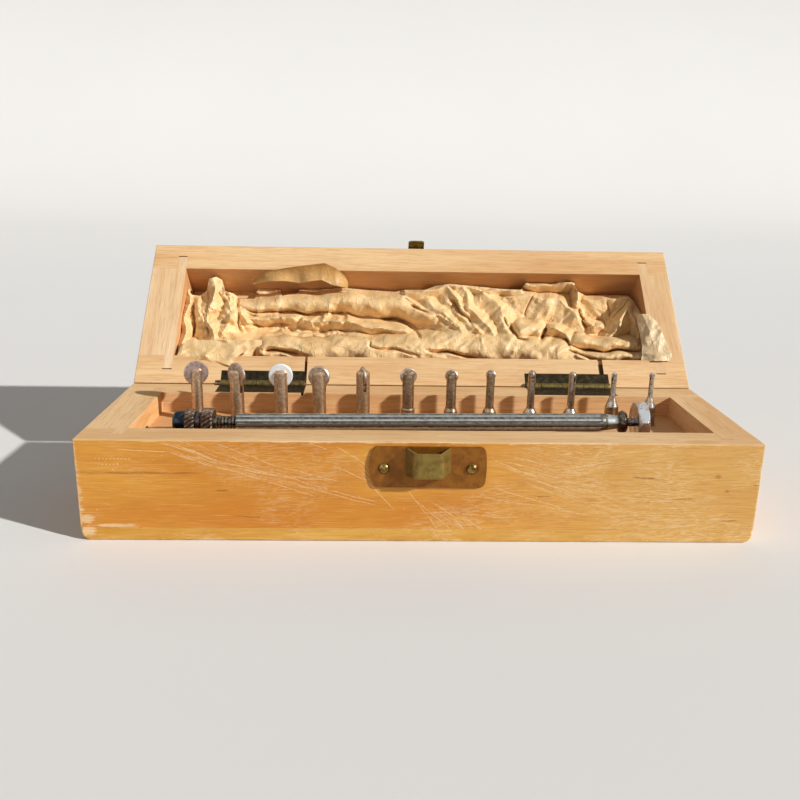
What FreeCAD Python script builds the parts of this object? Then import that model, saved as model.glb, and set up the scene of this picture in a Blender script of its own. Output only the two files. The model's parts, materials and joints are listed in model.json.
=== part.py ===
import FreeCAD, Part
import math
import os
import re
import Sketcher
from FreeCAD import Placement, Rotation, Vector

# Watchmaker's tool box: a small hinged wooden box with a drilled tool block, twelve slotted
# sink burnishers with round-edged wheels, a fluted holder, and waxed paper in the lid.
# Frame: origin at the middle of the base's underside, +X to the right along the length,
# +Y to the back where the hinges are, +Z up. Millimetres and degrees.

# Driving sizes: word, value, meaning
SIZES = [
    ("length", 150.0, "outside length of base and lid"),
    ("depth", 46.2, "outside depth, front to back"),
    ("base_height", 23.6, "height of the base to its rim"),
    ("lid_height", 14.8, "height of the lid from its rim to its top"),
    ("board", 3.2, "thickness of the bottom and top boards"),
    ("board_corner", 2.0, "rounding of the boards' outer edges at both ends"),
    ("board_edge", 0.6, "rounding of the boards' outer edges in front and behind"),
    ("tray_wall", 7.9, "thickness of the base's front wall"),
    ("front_wall", 8.4, "thickness of the lid's front wall"),
    ("back_wall", 8.6, "thickness of the back walls, which carry the hinges"),
    ("left_wall", 9.6, "thickness of the left walls"),
    ("right_wall", 8.4, "thickness of the right walls"),
    ("tongue_width", 2.6, "width of the corner tongues"),
    ("tongue_length", 4.1, "how far a tongue enters its groove"),
    ("groove_end_gap", 0.3, "open end of each groove past its tongue"),
    ("tray_depth", 5.1, "rim to the top of the drilled block"),
    ("rim_gap", 0.2, "gap between the closed rims"),
    ("open_angle", 134.0, "how far the lid stands open at rest"),
    ("pin_setback", 0.15, "hinge line behind the back faces"),
    ("left_hinge_inset", 34.5, "left end of the box to the middle of the left hinge"),
    ("right_hinge_inset", 33.4, "right end of the box to the middle of the right hinge"),
    ("hinge_length", 22.8, "length of each hinge"),
    ("leaf_thickness", 0.6, "thickness of the hinge leaves"),
    ("base_leaf", 7.8, "hinge line to the edge of the leaf in the base"),
    ("lid_leaf", 4.1, "hinge line to the edge of the leaf in the lid"),
    ("knuckle_radius", 1.1, "outer radius of the hinge knuckles"),
    ("end_knuckle", 1.7, "length of each hinge's last knuckle, on the right"),
    ("knuckle_pitch", 5.7, "length of the three knuckles before it"),
    ("knuckle_gap", 0.12, "gap between neighbouring knuckles"),
    ("hinge_pin_radius", 0.4, "radius of the hinge pins"),
    ("hinge_play", 0.04, "radial clearance of the hinge pins"),
    ("pin_stickout", 1.5, "how far the left hinge's pin has crept out"),
    ("mortise_play", 0.1, "clearance round the leaves in their mortises"),
    ("nail_radius", 0.55, "radius of the leaf nails"),
    ("nail_length", 5.0, "length of the leaf nails"),
    ("nail_spread", 14.0, "distance between the two nails of a leaf"),
    ("kerf_width", 0.7, "width of the saw cut beside the left hinge"),
    ("wide_kerf", 1.3, "width of the saw cut beside the right hinge"),
    ("wide_kerf_inset", 1.1, "end of the right hinge's mortise to that saw cut"),
    ("kerf_depth", 0.7, "depth of the saw cuts in the rims"),
    ("catch_width", 25.6, "width of the catch plates"),
    ("catch_height", 9.4, "height of the catch plate on the base"),
    ("catch_below_rim", 1.0, "rim to the near edge of each catch plate"),
    ("catch_offset", 1.2, "middle of the catch right of the box's middle"),
    ("catch_sheet", 0.5, "thickness of the catch's brass sheet"),
    ("catch_left_bulge", 1.2, "how far the plates' left end is bowed"),
    ("catch_right_bulge", 0.4, "how far the plates' right end is bowed"),
    ("catch_left_round", 0.9, "corner rounding at the plates' left end"),
    ("catch_right_round", 1.4, "corner rounding at the plates' right end"),
    ("pocket_reach", 4.1, "how far the catch pocket stands out"),
    ("pocket_mouth", 10.4, "width of the catch pocket at the plate"),
    ("pocket_face", 6.0, "width of the catch pocket's face"),
    ("pocket_height", 5.8, "height of the catch pocket's face"),
    ("pocket_dip", 0.5, "how far the pocket's open edge dips towards its face"),
    ("pocket_slope", 0.8, "drop of the pocket's bottom towards the plate"),
    ("tongue_strip", 4.6, "width of the lid catch's spring tongue"),
    ("tongue_drop", 1.9, "how far the spring tongue passes the rim"),
    ("tongue_bow", 1.0, "how far the spring tongue bows out in front of the lid"),
    ("tongue_round", 0.9, "corner rounding at the spring tongue's tip"),
    ("lid_catch_height", 8.0, "height of the catch plate on the lid"),
    ("stud_spread", 19.2, "distance between the two nails of a catch plate"),
    ("stud_radius", 1.3, "radius of the catch nails' domed heads"),
    ("stud_rise", 0.8, "height of the catch nails' domed heads"),
    ("stud_shank", 0.6, "radius of the catch nails below their heads"),
    ("stud_length", 6.0, "length of the catch nails below their heads"),
    ("stud_drop", 0.25, "middle of each catch plate to its nails, away from the rim"),
    ("row_behind", 7.6, "back wall to the line of the tool holes"),
    ("row_left", 11.4, "left wall to the first tool hole"),
    ("row_right", 8.4, "last tool hole to the right wall"),
    ("shank", 3.4, "diameter of the tools' shanks"),
    ("shank_play", 0.05, "radial clearance of the shanks in their holes"),
    ("hole_depth", 12.0, "depth of the tool holes"),
    ("shank_chamfer", 0.4, "chamfer at the foot of each shank"),
    ("disc_least", 0.22, "thickness of the wheels before their share of the neck"),
    ("disc_share", 0.17, "share of the neck's diameter in a wheel's thickness"),
    ("slot_play", 0.04, "clearance on each side of a wheel in its slot"),
    ("pin_play", 0.03, "radial clearance of a cross pin in the ears"),
    ("handle_shift", -2.25, "middle of the holder from the middle of the box"),
    ("head_gap", 1.87, "gap between the front wall and the corner of the holder's head"),
    ("handle_skew", 1.46, "turn of the holder in plan, head towards the front"),
    ("floor_clear", 0.05, "gap between the holder and the block under it"),
    ("nose_radius", 2.8, "radius of the blued nose cap"),
    ("nose_length", 2.7, "length of the blued nose cap"),
    ("nose_round", 1.1, "rounding of the nose cap's end"),
    ("socket_seat", 0.8, "wall between the end of the tool socket and the collar"),
    ("clamp_radius", 3.2, "radius of the knurled clamp nut"),
    ("clamp_width", 2.4, "width of the knurled clamp nut"),
    ("collar_radius", 2.4, "radius of the blued collar between the nuts"),
    ("collar_width", 1.6, "width of the blued collar between the nuts"),
    ("lock_radius", 3.45, "radius of the knurled lock nut"),
    ("lock_width", 2.7, "width of the knurled lock nut"),
    ("nut_gap", 0.05, "gap between the nuts and their neighbours"),
    ("nut_chamfer", 0.3, "chamfer of the knurled nuts"),
    ("stud_thread", 1.55, "radius of the threaded stud"),
    ("thread_run", 5.4, "bare length of the threaded stud"),
    ("thread_groove", 0.25, "depth of the stud's thread grooves"),
    ("thread_pitch", 0.8, "pitch of the stud's thread grooves"),
    ("stud_root", 6.0, "length of stud held inside the grip"),
    ("thread_play", 0.03, "radial clearance on the stud's thread"),
    ("grip_radius", 2.1, "radius of the fluted grip"),
    ("grip_length", 84.9, "length of the fluted grip before its taper"),
    ("taper_length", 4.4, "length of the grip's smooth taper"),
    ("taper_radius", 1.5, "radius at the end of the taper"),
    ("flute_radius", 0.38, "radius of the grip's flutes"),
    ("flute_depth", 0.18, "depth of the grip's flutes"),
    ("ring_radius", 2.75, "radius of the domed ring"),
    ("ring_width", 1.9, "width of the domed ring"),
    ("stem_radius", 1.0, "radius of the stem under the head"),
    ("stem_length", 1.9, "bare length of the stem"),
    ("stem_root", 5.0, "length of stem that turns inside the grip"),
    ("head_flats", 9.4, "width of the hexagonal head across its flats"),
    ("head_turn", 15.0, "turn of the head from its corners pointing forwards"),
    ("head_thickness", 2.6, "thickness of the hexagonal head"),
    ("head_chamfer", 0.8, "chamfer of the head's corners along its axis"),
    ("paper_gap", 0.6, "gap between the paper and the lid's walls"),
    ("paper_rise", 7.5, "mean height of the paper over the top board"),
    ("paper_folds", 2.2, "height of the paper's folds"),
]

# Feet of the tool shanks: heights over the block where the neck's flare begins and ends
FEET = {
    "plain": (2.4, 2.0),
    "collar": (3.9, 3.6),
    "flare": (4.3, 2.9),
    "cone": (7.4, 4.5),
}

# The graduated set: wheel diameter, neck diameter, height of the wheel's top over the block,
# foot, turn of the wheel from facing the front, and drift of the hole from even spacing
TOOLS = [
    (6.0, 2.75, 15.3, "plain", 22.0, -0.57),
    (6.2, 3.34, 14.9, "plain", -40.0, -0.9),
    (6.0, 3.36, 14.8, "plain", 5.0, -0.25),
    (5.4, 3.38, 14.3, "plain", -10.0, -1.0),
    (4.8, 3.38, 14.2, "plain", -72.0, -0.3),
    (4.2, 2.90, 14.1, "collar", 10.0, 0.76),
    (3.3, 2.50, 13.8, "flare", -15.0, 1.3),
    (2.5, 2.06, 13.8, "flare", -20.0, 0.85),
    (2.2, 1.86, 13.9, "flare", -78.0, 0.96),
    (1.9, 1.78, 13.6, "flare", -62.0, 0.92),
    (1.7, 1.34, 13.6, "cone", 30.0, 1.19),
    (1.6, 1.14, 13.7, "cone", 15.0, 0.51),
]
TOOL_SIZES = ("wheel", "neck", "top", "flare_top", "flare_foot", "turn", "drift")
CROSS_PIN = 0.28  # of the neck's diameter
EAR_OVER_PIN = 0.42  # of the neck's diameter
SLOT_UNDER_WHEEL = 0.35  # of the neck's diameter
TOP_CHAMFER = 0.17  # of the neck's diameter
RIM_CHAMFER = 0.3  # of the wheel's thickness
DISC = "(disc_least + disc_share * %s)"  # a wheel's thickness from its tool's neck

FLUTES = 12
BOW_STEPS = 3
PAPER_SECTIONS = 9
PAPER_POINTS = 7

doc = FreeCAD.newDocument("watchmaker_tool_box")
sheet = doc.addObject("Spreadsheet::Sheet", "sizes")
values = {}


def put_size(word, value, meaning):
    """Write one driving size into the next row of the sheet."""
    row = len(values) + 1
    sheet.set(f"A{row}", meaning)
    sheet.set(f"B{row}", str(value))
    sheet.setAlias(f"B{row}", word)
    values[word] = value


for word, value, meaning in SIZES:
    put_size(word, value, meaning)
for number, (wheel, neck, top, foot, turn, drift) in enumerate(TOOLS, start=1):
    for word, value in zip(TOOL_SIZES, (wheel, neck, top, *FEET[foot], turn, drift)):
        put_size(f"{word}_{number:02d}", value, f"{word} of tool {number}")
doc.recompute()

# Places that several pieces share
HALF = "length / 2"
FRONT = "(-depth / 2)"
BACK = "(depth / 2)"
ROW_Y = "(depth / 2 - back_wall - row_behind)"
FLOOR = "(base_height - tray_depth)"
PIN_Y = "(depth / 2 + pin_setback)"
PIN_Z = "(base_height + rim_gap / 2)"
LID_BACK = "(-pin_setback)"
LID_FRONT = "(-pin_setback - depth)"
LID_RIM = "(rim_gap / 2)"
LID_BOARD = "(rim_gap / 2 + lid_height - board)"
GROOVE = "(tongue_length + groove_end_gap)"
HANDLE_REACH = ("(nose_length + clamp_width + collar_width + lock_width + thread_run"
                " + grip_length + taper_length + ring_width + stem_length)")
LOCK_PLACE = "(nose_length + clamp_width + collar_width)"
HEAD_CORNER = "(head_flats / sqrt(3) * cos(head_turn))"
HANDLE_TILT = f"asin(({HEAD_CORNER} - lock_radius) / ({HANDLE_REACH} - {LOCK_PLACE}))"
IN_LID = f"placement(vector(0; {PIN_Y}; {PIN_Z}); rotation(vector(1; 0; 0); -open_angle))"
NOSE_X = f"(handle_shift - ({HANDLE_REACH} + head_thickness) / 2)"
NOSE_Y = (f"({FRONT} + tray_wall + head_gap + {HEAD_CORNER}"
          f" + {HANDLE_REACH} * sin(handle_skew))")
IN_HANDLE = (
    f"placement(vector({NOSE_X}; {NOSE_Y}; {FLOOR} + floor_clear + lock_radius"
    f" - {LOCK_PLACE} * tan({HANDLE_TILT}));"
    f" rotation(vector(0; 0; 1); -handle_skew) * rotation(vector(0; 1; 0); -{HANDLE_TILT}))"
)


def bound(formula):
    """Turn a formula in the sheet's words into an expression."""
    return re.sub(
        r"[a-z_]+[a-z_0-9]*",
        lambda found: f"sizes.{found[0]}" if found[0] in values else found[0],
        str(formula),
    )


def bind(piece, **formulas):
    """Bind an object's properties to formulas; two underscores stand for a dot."""
    for name, formula in formulas.items():
        piece.setExpression(name.replace("__", "."), bound(formula))
    return piece


def new_body(label):
    """Start a PartDesign body."""
    return doc.addObject("PartDesign::Body", label)


def new_sketch(body, plane, lift="0"):
    """Put a sketch on one of the body's own planes, lifted along the plane's normal."""
    sketch = body.newObject("Sketcher::SketchObject", f"{body.Name}_sketch")
    origin_plane = next(f for f in body.Origin.OriginFeatures if f.Role == plane)
    sketch.AttachmentSupport = [(origin_plane, "")]
    sketch.MapMode = "FlatFace"
    return bind(sketch, AttachmentOffset__Base__z=lift)


def pin_point(sketch, geometry, point, across, up):
    """Fix a point of a sketch at two formulas, measured from the origin."""
    for kind, formula in (("DistanceX", across), ("DistanceY", up)):
        index = sketch.addConstraint(Sketcher.Constraint(kind, -1, 1, geometry, point, 1.0))
        sketch.setExpression(f"Constraints[{index}]", bound(formula))


def draw_outline(sketch, corners):
    """Draw a closed outline of straight lines through corners given as formulas."""
    count = len(corners)
    start = sketch.GeometryCount
    ring = [Vector(math.cos(2 * math.pi * i / count), math.sin(2 * math.pi * i / count), 0)
            for i in range(count)]
    for i in range(count):
        sketch.addGeometry(Part.LineSegment(ring[i], ring[(i + 1) % count]), False)
    for i in range(count):
        following = start + (i + 1) % count
        sketch.addConstraint(Sketcher.Constraint("Coincident", start + i, 2, following, 1))
    for i, (across, up) in enumerate(corners):
        pin_point(sketch, start + i, 1, across, up)


def draw_rectangle(sketch, left, low, right, high):
    """Draw a rectangle between two corners."""
    draw_outline(sketch, [(left, low), (right, low), (right, high), (left, high)])


def draw_circle(sketch, across, up, radius):
    """Draw a circle."""
    index = sketch.addGeometry(Part.Circle(Vector(0, 0, 0), Vector(0, 0, 1), 1.0), False)
    pin_point(sketch, index, 3, across, up)
    constraint = sketch.addConstraint(Sketcher.Constraint("Radius", index, 1.0))
    sketch.setExpression(f"Constraints[{constraint}]", bound(radius))


def pad(body, sketch, height, both_ways=False):
    """Extrude a sketch by a formula."""
    feature = body.newObject("PartDesign::Pad", f"{body.Name}_pad")
    feature.Profile = sketch
    feature.Midplane = both_ways
    return bind(feature, Length=height)


def pocket(body, sketch, depth, both_ways=False, upwards=False):
    """Cut a sketch into the body by a formula, and make sure that it cuts something."""
    doc.recompute()
    before = body.Shape.Volume
    feature = body.newObject("PartDesign::Pocket", f"{body.Name}_pocket")
    feature.Profile = sketch
    feature.Midplane = both_ways
    feature.Reversed = upwards
    bind(feature, Length=depth)
    doc.recompute()
    if feature.Shape.Volume >= before:
        raise RuntimeError(f"{feature.Label} cuts nothing")
    return feature


def revolve(body, sketch, axis):
    """Turn a sketch once round one of its own axes."""
    feature = body.newObject("PartDesign::Revolution", f"{body.Name}_turning")
    feature.Profile = sketch
    feature.ReferenceAxis = (sketch, [axis])
    feature.Angle = 360.0
    return feature


def edges_where(shape, test):
    """Name the edges whose direction and middle pass a test."""
    names = []
    for number, edge in enumerate(shape.Edges, start=1):
        ends = [vertex.Point for vertex in edge.Vertexes]
        if len(ends) == 2 and test(ends[1] - ends[0], (ends[0] + ends[1]) / 2):
            names.append(f"Edge{number}")
    return names


def fillet(body, base, test, radius):
    """Round the edges of a feature that pass a test."""
    doc.recompute()
    feature = body.newObject("PartDesign::Fillet", f"{body.Name}_fillet")
    feature.Base = (base, edges_where(base.Shape, test))
    return bind(feature, Radius=radius)


def make_box(label, size, corner):
    """Make a block from three sizes and its lowest corner."""
    block = doc.addObject("Part::Box", label)
    return bind(block, Length=size[0], Width=size[1], Height=size[2],
                Placement__Base__x=corner[0], Placement__Base__y=corner[1],
                Placement__Base__z=corner[2])


def make_cylinder(label, radius, height, foot, along=Vector(0, 0, 1)):
    """Make a cylinder from its foot along one of the axes."""
    rod = doc.addObject("Part::Cylinder", label)
    rod.Placement = Placement(Vector(), Rotation(Vector(0, 0, 1), along))
    return bind(rod, Radius=radius, Height=height, Placement__Base__x=foot[0],
                Placement__Base__y=foot[1], Placement__Base__z=foot[2])


def fuse(label, pieces):
    """Join pieces into one."""
    joined = doc.addObject("Part::MultiFuse", label)
    joined.Shapes = pieces
    return joined


def cut(label, base, tool):
    """Cut one piece from another."""
    result = doc.addObject("Part::Cut", label)
    result.Base = base
    result.Tool = tool
    return result


def group(label, pieces):
    """Keep separate pieces together under one name."""
    together = doc.addObject("Part::Compound", label)
    together.Links = pieces
    return together


# Walls of the base and the lid


def add_long_wall(label, outer, inner, groove_floor, low, height):
    """Make a front or back wall, with an upright groove at each end for a side wall's tongue."""
    left, right = f"-{HALF} + left_wall", f"{HALF} - right_wall"
    body = new_body(label)
    sketch = new_sketch(body, "XY_Plane", low)
    draw_outline(sketch, [
        (f"-{HALF}", outer), (HALF, outer), (HALF, inner),
        (f"{right} + tongue_width", inner), (f"{right} + tongue_width", groove_floor),
        (right, groove_floor), (right, inner),
        (left, inner), (left, groove_floor),
        (f"{left} - tongue_width", groove_floor), (f"{left} - tongue_width", inner),
        (f"-{HALF}", inner),
    ])
    pad(body, sketch, height)
    return body


def add_side_wall(label, outer, inner, shoulder, front, back, low, height):
    """Make a side wall whose tongues lie flush with its inner face."""
    body = new_body(label)
    sketch = new_sketch(body, "XY_Plane", low)
    draw_outline(sketch, [
        (outer, front), (shoulder, front), (shoulder, f"{front} - tongue_length"),
        (inner, f"{front} - tongue_length"), (inner, f"{back} + tongue_length"),
        (shoulder, f"{back} + tongue_length"), (shoulder, back), (outer, back),
    ])
    pad(body, sketch, height)
    return body


def add_frame(name, front, front_wall, back, low, height):
    """Make the four walls of the base or the lid."""
    inner_front, inner_back = f"({front} + {front_wall})", f"({back} - back_wall)"
    left, right = f"-{HALF} + left_wall", f"{HALF} - right_wall"
    return [
        add_long_wall(f"{name}_front_wall", front, inner_front,
                      f"{inner_front} - {GROOVE}", low, height),
        add_long_wall(f"{name}_back_wall", back, inner_back,
                      f"{inner_back} + {GROOVE}", low, height),
        add_side_wall(f"{name}_left_wall", f"-{HALF}", left, f"{left} - tongue_width",
                      inner_front, inner_back, low, height),
        add_side_wall(f"{name}_right_wall", HALF, right, f"{right} + tongue_width",
                      inner_front, inner_back, low, height),
    ]


def add_board(label, front, back, low, outside_up):
    """Make a bottom or top board whose outer edges are rounded, most at its two ends."""
    body = new_body(label)
    sketch = new_sketch(body, "XY_Plane", low)
    draw_rectangle(sketch, f"-{HALF}", front, HALF, back)
    slab = pad(body, sketch, "board")
    doc.recompute()
    level = slab.Shape.BoundBox.ZMax if outside_up else slab.Shape.BoundBox.ZMin
    ends = fillet(body, slab, lambda direction, middle: (
        abs(middle.z - level) < 1e-6 and abs(direction.x) < 1e-6), "board_corner")
    fillet(body, ends, lambda direction, middle: (
        abs(middle.z - level) < 1e-6 and abs(direction.y) < 1e-6), "board_edge")
    return body


def hinge_place(side):
    """Give the middle of a hinge along the box: side is -1 for left and 1 for right."""
    inset = "left_hinge_inset" if side < 0 else "right_hinge_inset"
    return f"({side} * (length / 2 - {inset}))"


def cut_mortises(wall, rim, leaf, hinge_y, hinge_z, upwards):
    """Cut a wall's rim for both hinges: leaf mortises, room for the knuckles, saw cuts."""
    reach = "(hinge_length / 2 + mortise_play)"
    for side, kerf, inset, crept in ((-1, "kerf_width", "0", "pin_stickout"),
                                     (1, "wide_kerf", "wide_kerf_inset", "0")):
        middle = hinge_place(side)
        mortise = new_sketch(wall, "XY_Plane", rim)
        draw_rectangle(mortise, f"{middle} - {reach}", f"{hinge_y} - {leaf} - mortise_play",
                       f"{middle} + {reach}", f"{hinge_y} + 1")
        pocket(wall, mortise, "leaf_thickness + mortise_play / 2", upwards=upwards)
        room = new_sketch(wall, "YZ_Plane", f"{middle} - {crept} / 2")
        draw_circle(room, hinge_y, hinge_z, "knuckle_radius + mortise_play")
        pocket(wall, room, f"2 * {reach} + {crept}", both_ways=True)
        saw_cut = new_sketch(wall, "XY_Plane", rim)
        draw_rectangle(saw_cut, f"{middle} + {reach} - {inset} - {kerf}",
                       f"{hinge_y} - back_wall - 1",
                       f"{middle} + {reach} - {inset}", f"{hinge_y} + 1")
        pocket(wall, saw_cut, "kerf_depth", upwards=upwards)


base_walls = add_frame("base", FRONT, "tray_wall", BACK, "board", "base_height - board")
cut_mortises(base_walls[1], "base_height", "base_leaf", PIN_Y, PIN_Z, False)
bottom_board = add_board("bottom_board", FRONT, BACK, "0", False)

lid_walls = add_frame("lid", LID_FRONT, "front_wall", LID_BACK, LID_RIM, "lid_height - board")
cut_mortises(lid_walls[1], LID_RIM, "lid_leaf", "0", "0", True)
top_board = add_board("top_board", LID_FRONT, LID_BACK, LID_BOARD, True)

# Drilled block that fills the base under the tray


def tool_place(number):
    """Give a tool hole's place along the box."""
    spread = f"{number - 1} / {len(TOOLS) - 1} * (length - left_wall - right_wall"
    return f"(-{HALF} + left_wall + row_left + {spread} - row_left - row_right) + drift_{number:02d})"


tool_block = new_body("tool_block")
block_plan = new_sketch(tool_block, "XY_Plane", "board")
draw_rectangle(block_plan, f"-{HALF} + left_wall", f"{FRONT} + tray_wall",
               f"{HALF} - right_wall", f"{BACK} - back_wall")
pad(tool_block, block_plan, f"{FLOOR} - board")
hole_plan = new_sketch(tool_block, "XY_Plane", FLOOR)
for number in range(1, len(TOOLS) + 1):
    draw_circle(hole_plan, tool_place(number), ROW_Y, "shank / 2 + shank_play")
pocket(tool_block, hole_plan, "hole_depth")

# Butt hinges: the base leaf has three knuckles, the lid leaf two between them


def knuckles(owner):
    """Give the start and length of a leaf's knuckles: the hinge was cut from a longer strip."""
    starts = ["0"] + [f"(hinge_length - end_knuckle - {count} * knuckle_pitch)"
                      for count in (3, 2, 1, 0)]
    lengths = [starts[1], "knuckle_pitch", "knuckle_pitch", "knuckle_pitch", "end_knuckle"]
    picked = (0, 2, 4) if owner == "base" else (1, 3)
    return [(starts[i], lengths[i]) for i in picked]


def add_leaf(label, side, owner, width, level):
    """Make a hinge leaf in the hinge line's own frame, with its knuckles and nail holes."""
    start = f"({hinge_place(side)} - hinge_length / 2)"
    clear = "(knuckle_radius + knuckle_gap)"
    pieces = [make_box(f"{label}_plate", ("hinge_length", f"{width} - {clear}", "leaf_thickness"),
                       (start, f"-{width}", level))]
    for number, (place, run) in enumerate(knuckles(owner), start=1):
        left = f"{start} + {place} + knuckle_gap / 2"
        pieces.append(make_box(f"{label}_web{number}", (f"{run} - knuckle_gap", clear,
                                                       "leaf_thickness"),
                               (left, f"-{clear}", level)))
        pieces.append(make_cylinder(f"{label}_knuckle{number}", "knuckle_radius",
                                    f"{run} - knuckle_gap", (left, "0", "0"),
                                    Vector(1, 0, 0)))
    holes = [make_cylinder(f"{label}_bore", "hinge_pin_radius + hinge_play",
                           "hinge_length + 2", (f"{start} - 1", "0", "0"), Vector(1, 0, 0))]
    for place in nail_places(side):
        holes.append(make_cylinder(f"{label}_hole", "nail_radius", "4 * leaf_thickness",
                                   (place, nail_line(width), f"{level} - leaf_thickness")))
    return cut(label, fuse(f"{label}_blank", pieces), fuse(f"{label}_holes", holes))


def nail_line(width):
    """Give the line of a leaf's nails, midway between its edge and its knuckles."""
    return f"(-({width} + knuckle_radius + knuckle_gap) / 2)"


def nail_places(side):
    """Give the places of a leaf's two nails along the box."""
    return [f"({hinge_place(side)} {sign} nail_spread / 2)" for sign in "-+"]


def add_leaf_nails(label, width, foot):
    """Make the four nails that hold one side of both hinges, filed flush with the leaves."""
    return group(label, [
        make_cylinder(f"{label}_nail", "nail_radius", "nail_length",
                      (place, nail_line(width), foot))
        for side in (-1, 1) for place in nail_places(side)
    ])


def drill_for_nails(wall, width, hinge_y, rim, upwards):
    """Drill a wall for the leaf nails."""
    drilling = new_sketch(wall, "XY_Plane", rim)
    for side in (-1, 1):
        for place in nail_places(side):
            draw_circle(drilling, place, f"{hinge_y} + {nail_line(width)}", "nail_radius")
    pocket(wall, drilling, "nail_length", upwards=upwards)


BASE_LEAF_LEVEL = "(-rim_gap / 2 - leaf_thickness)"
base_hinge_parts = []
lid_hinge_parts = []
for side, name, crept in ((-1, "left", "pin_stickout"), (1, "right", "0")):
    base_hinge_parts += [
        add_leaf(f"{name}_hinge_base_leaf", side, "base", "base_leaf", BASE_LEAF_LEVEL),
        group(f"{name}_hinge_pin", [
            make_cylinder(f"{name}_pin_rod", "hinge_pin_radius", f"hinge_length + {crept}",
                          (f"{hinge_place(side)} - hinge_length / 2 - {crept}", "0", "0"),
                          Vector(1, 0, 0)),
        ]),
    ]
    lid_hinge_parts.append(
        add_leaf(f"{name}_hinge_lid_leaf", side, "lid", "lid_leaf", LID_RIM))
base_hinge_parts.append(
    add_leaf_nails("base_leaf_nails", "base_leaf", "-rim_gap / 2 - nail_length"))
lid_hinge_parts.append(add_leaf_nails("lid_leaf_nails", "lid_leaf", LID_RIM))
drill_for_nails(base_walls[1], "base_leaf", PIN_Y, "base_height", False)
drill_for_nails(lid_walls[1], "lid_leaf", "0", LID_RIM, True)

# Catch: a pocket pressed out of the plate on the base takes the lid's spring tongue

STUD_LEFT = "(catch_offset - stud_spread / 2)"
STUD_RIGHT = "(catch_offset + stud_spread / 2)"


def add_plate(label, lift, low, high, height):
    """Make a catch plate with bowed ends, rounded corners and its two nail holes."""
    body = new_body(label)
    sketch = new_sketch(body, "XZ_Plane", lift)
    middle_height, half_height = f"({low} + {high}) / 2", f"({high} - ({low})) / 2"
    outline = []
    for sign, bulge in ((1, "catch_right_bulge"), (-1, "catch_left_bulge")):
        for step in range(-BOW_STEPS, BOW_STEPS + 1):
            share = sign * step / BOW_STEPS
            outline.append((f"catch_offset + {sign} * (catch_width / 2 - {bulge} * {share ** 2})",
                            f"{middle_height} + {share} * {half_height}"))
    draw_outline(sketch, outline)
    feature = pad(body, sketch, "catch_sheet")
    doc.recompute()
    box = feature.Shape.BoundBox
    for sign, radius in ((-1, "catch_left_round"), (1, "catch_right_round")):
        feature = fillet(body, feature, lambda direction, middle: (
            abs(direction.x) + abs(direction.z) < 1e-6
            and min(middle.z - box.ZMin, box.ZMax - middle.z) < 1e-6
            and sign * (middle.x - values["catch_offset"]) > 0), radius)
    holes = new_sketch(body, "XZ_Plane", f"{lift} + catch_sheet")
    for place in (STUD_LEFT, STUD_RIGHT):
        draw_circle(holes, place, height, "stud_shank")
    pocket(body, holes, "2 * catch_sheet")
    return body


def add_studs(label, face, height):
    """Make the two domed nails of a catch plate: a head on the plate, a shank in the wood."""
    nails = []
    dome = "((stud_radius * stud_radius + stud_rise * stud_rise) / (2 * stud_rise))"
    for place in (STUD_LEFT, STUD_RIGHT):
        head = doc.addObject("Part::Sphere", f"{label}_dome")
        head.Placement = Placement(Vector(), Rotation(Vector(0, 0, 1), Vector(0, -1, 0)))
        bind(head, Radius=dome, Angle1=f"asin(1 - stud_rise / {dome})",
             Placement__Base__x=place, Placement__Base__z=height,
             Placement__Base__y=f"{face} + {dome} - stud_rise")
        shank = make_cylinder(f"{label}_shank", "stud_shank", "stud_length + stud_rise / 4",
                              (place, f"{face} + stud_length", height), Vector(0, -1, 0))
        nails.append(fuse(f"{label}_nail", [head, shank]))
    return group(label, nails)


def drill_for_studs(wall, lift, height):
    """Drill a front wall for its catch plate's nails."""
    drilling = new_sketch(wall, "XZ_Plane", lift)
    for place in (STUD_LEFT, STUD_RIGHT):
        draw_circle(drilling, place, height, "stud_shank")
    pocket(wall, drilling, "stud_length - catch_sheet")


CATCH_TOP = "(base_height - catch_below_rim)"
CATCH_FACE = "(depth / 2)"
BASE_STUDS = f"({CATCH_TOP} - catch_height / 2 - stud_drop)"
catch_plate = add_plate("catch_plate", CATCH_FACE, f"({CATCH_TOP} - catch_height)", CATCH_TOP,
                        BASE_STUDS)


def add_pocket_shape(kind, near, far, skin, top):
    """Loft the catch's pocket, or the hollow inside it, between two rectangles."""
    half_mouth, half_face = f"(pocket_mouth / 2 - {skin})", f"(pocket_face / 2 - {skin})"
    ends = []
    for place, half, dip, slope in ((near, half_mouth, "0", "pocket_slope"),
                                    (far, half_face, "pocket_dip", "0")):
        low = f"{CATCH_TOP} - pocket_dip - pocket_height - {slope} + {skin}"
        outline = new_sketch(catch_plate, "XZ_Plane", place)
        draw_rectangle(outline, f"catch_offset - {half}", low,
                       f"catch_offset + {half}", f"{CATCH_TOP} - {dip} + {top}")
        ends.append(outline)
    shape = catch_plate.newObject(f"PartDesign::{kind}Loft", f"pocket_{kind.lower()}")
    shape.Profile = ends[0]
    shape.Sections = ends[1:]
    doc.recompute()
    return shape


add_pocket_shape("Additive", CATCH_FACE, "depth / 2 + pocket_reach", "0", "0")
add_pocket_shape("Subtractive", "depth / 2 + catch_sheet",
                 "depth / 2 + pocket_reach - catch_sheet", "catch_sheet", "1")

catch_studs = add_studs("catch_nails", f"({FRONT} - catch_sheet)", BASE_STUDS)
drill_for_studs(base_walls[0], CATCH_FACE, BASE_STUDS)

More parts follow.
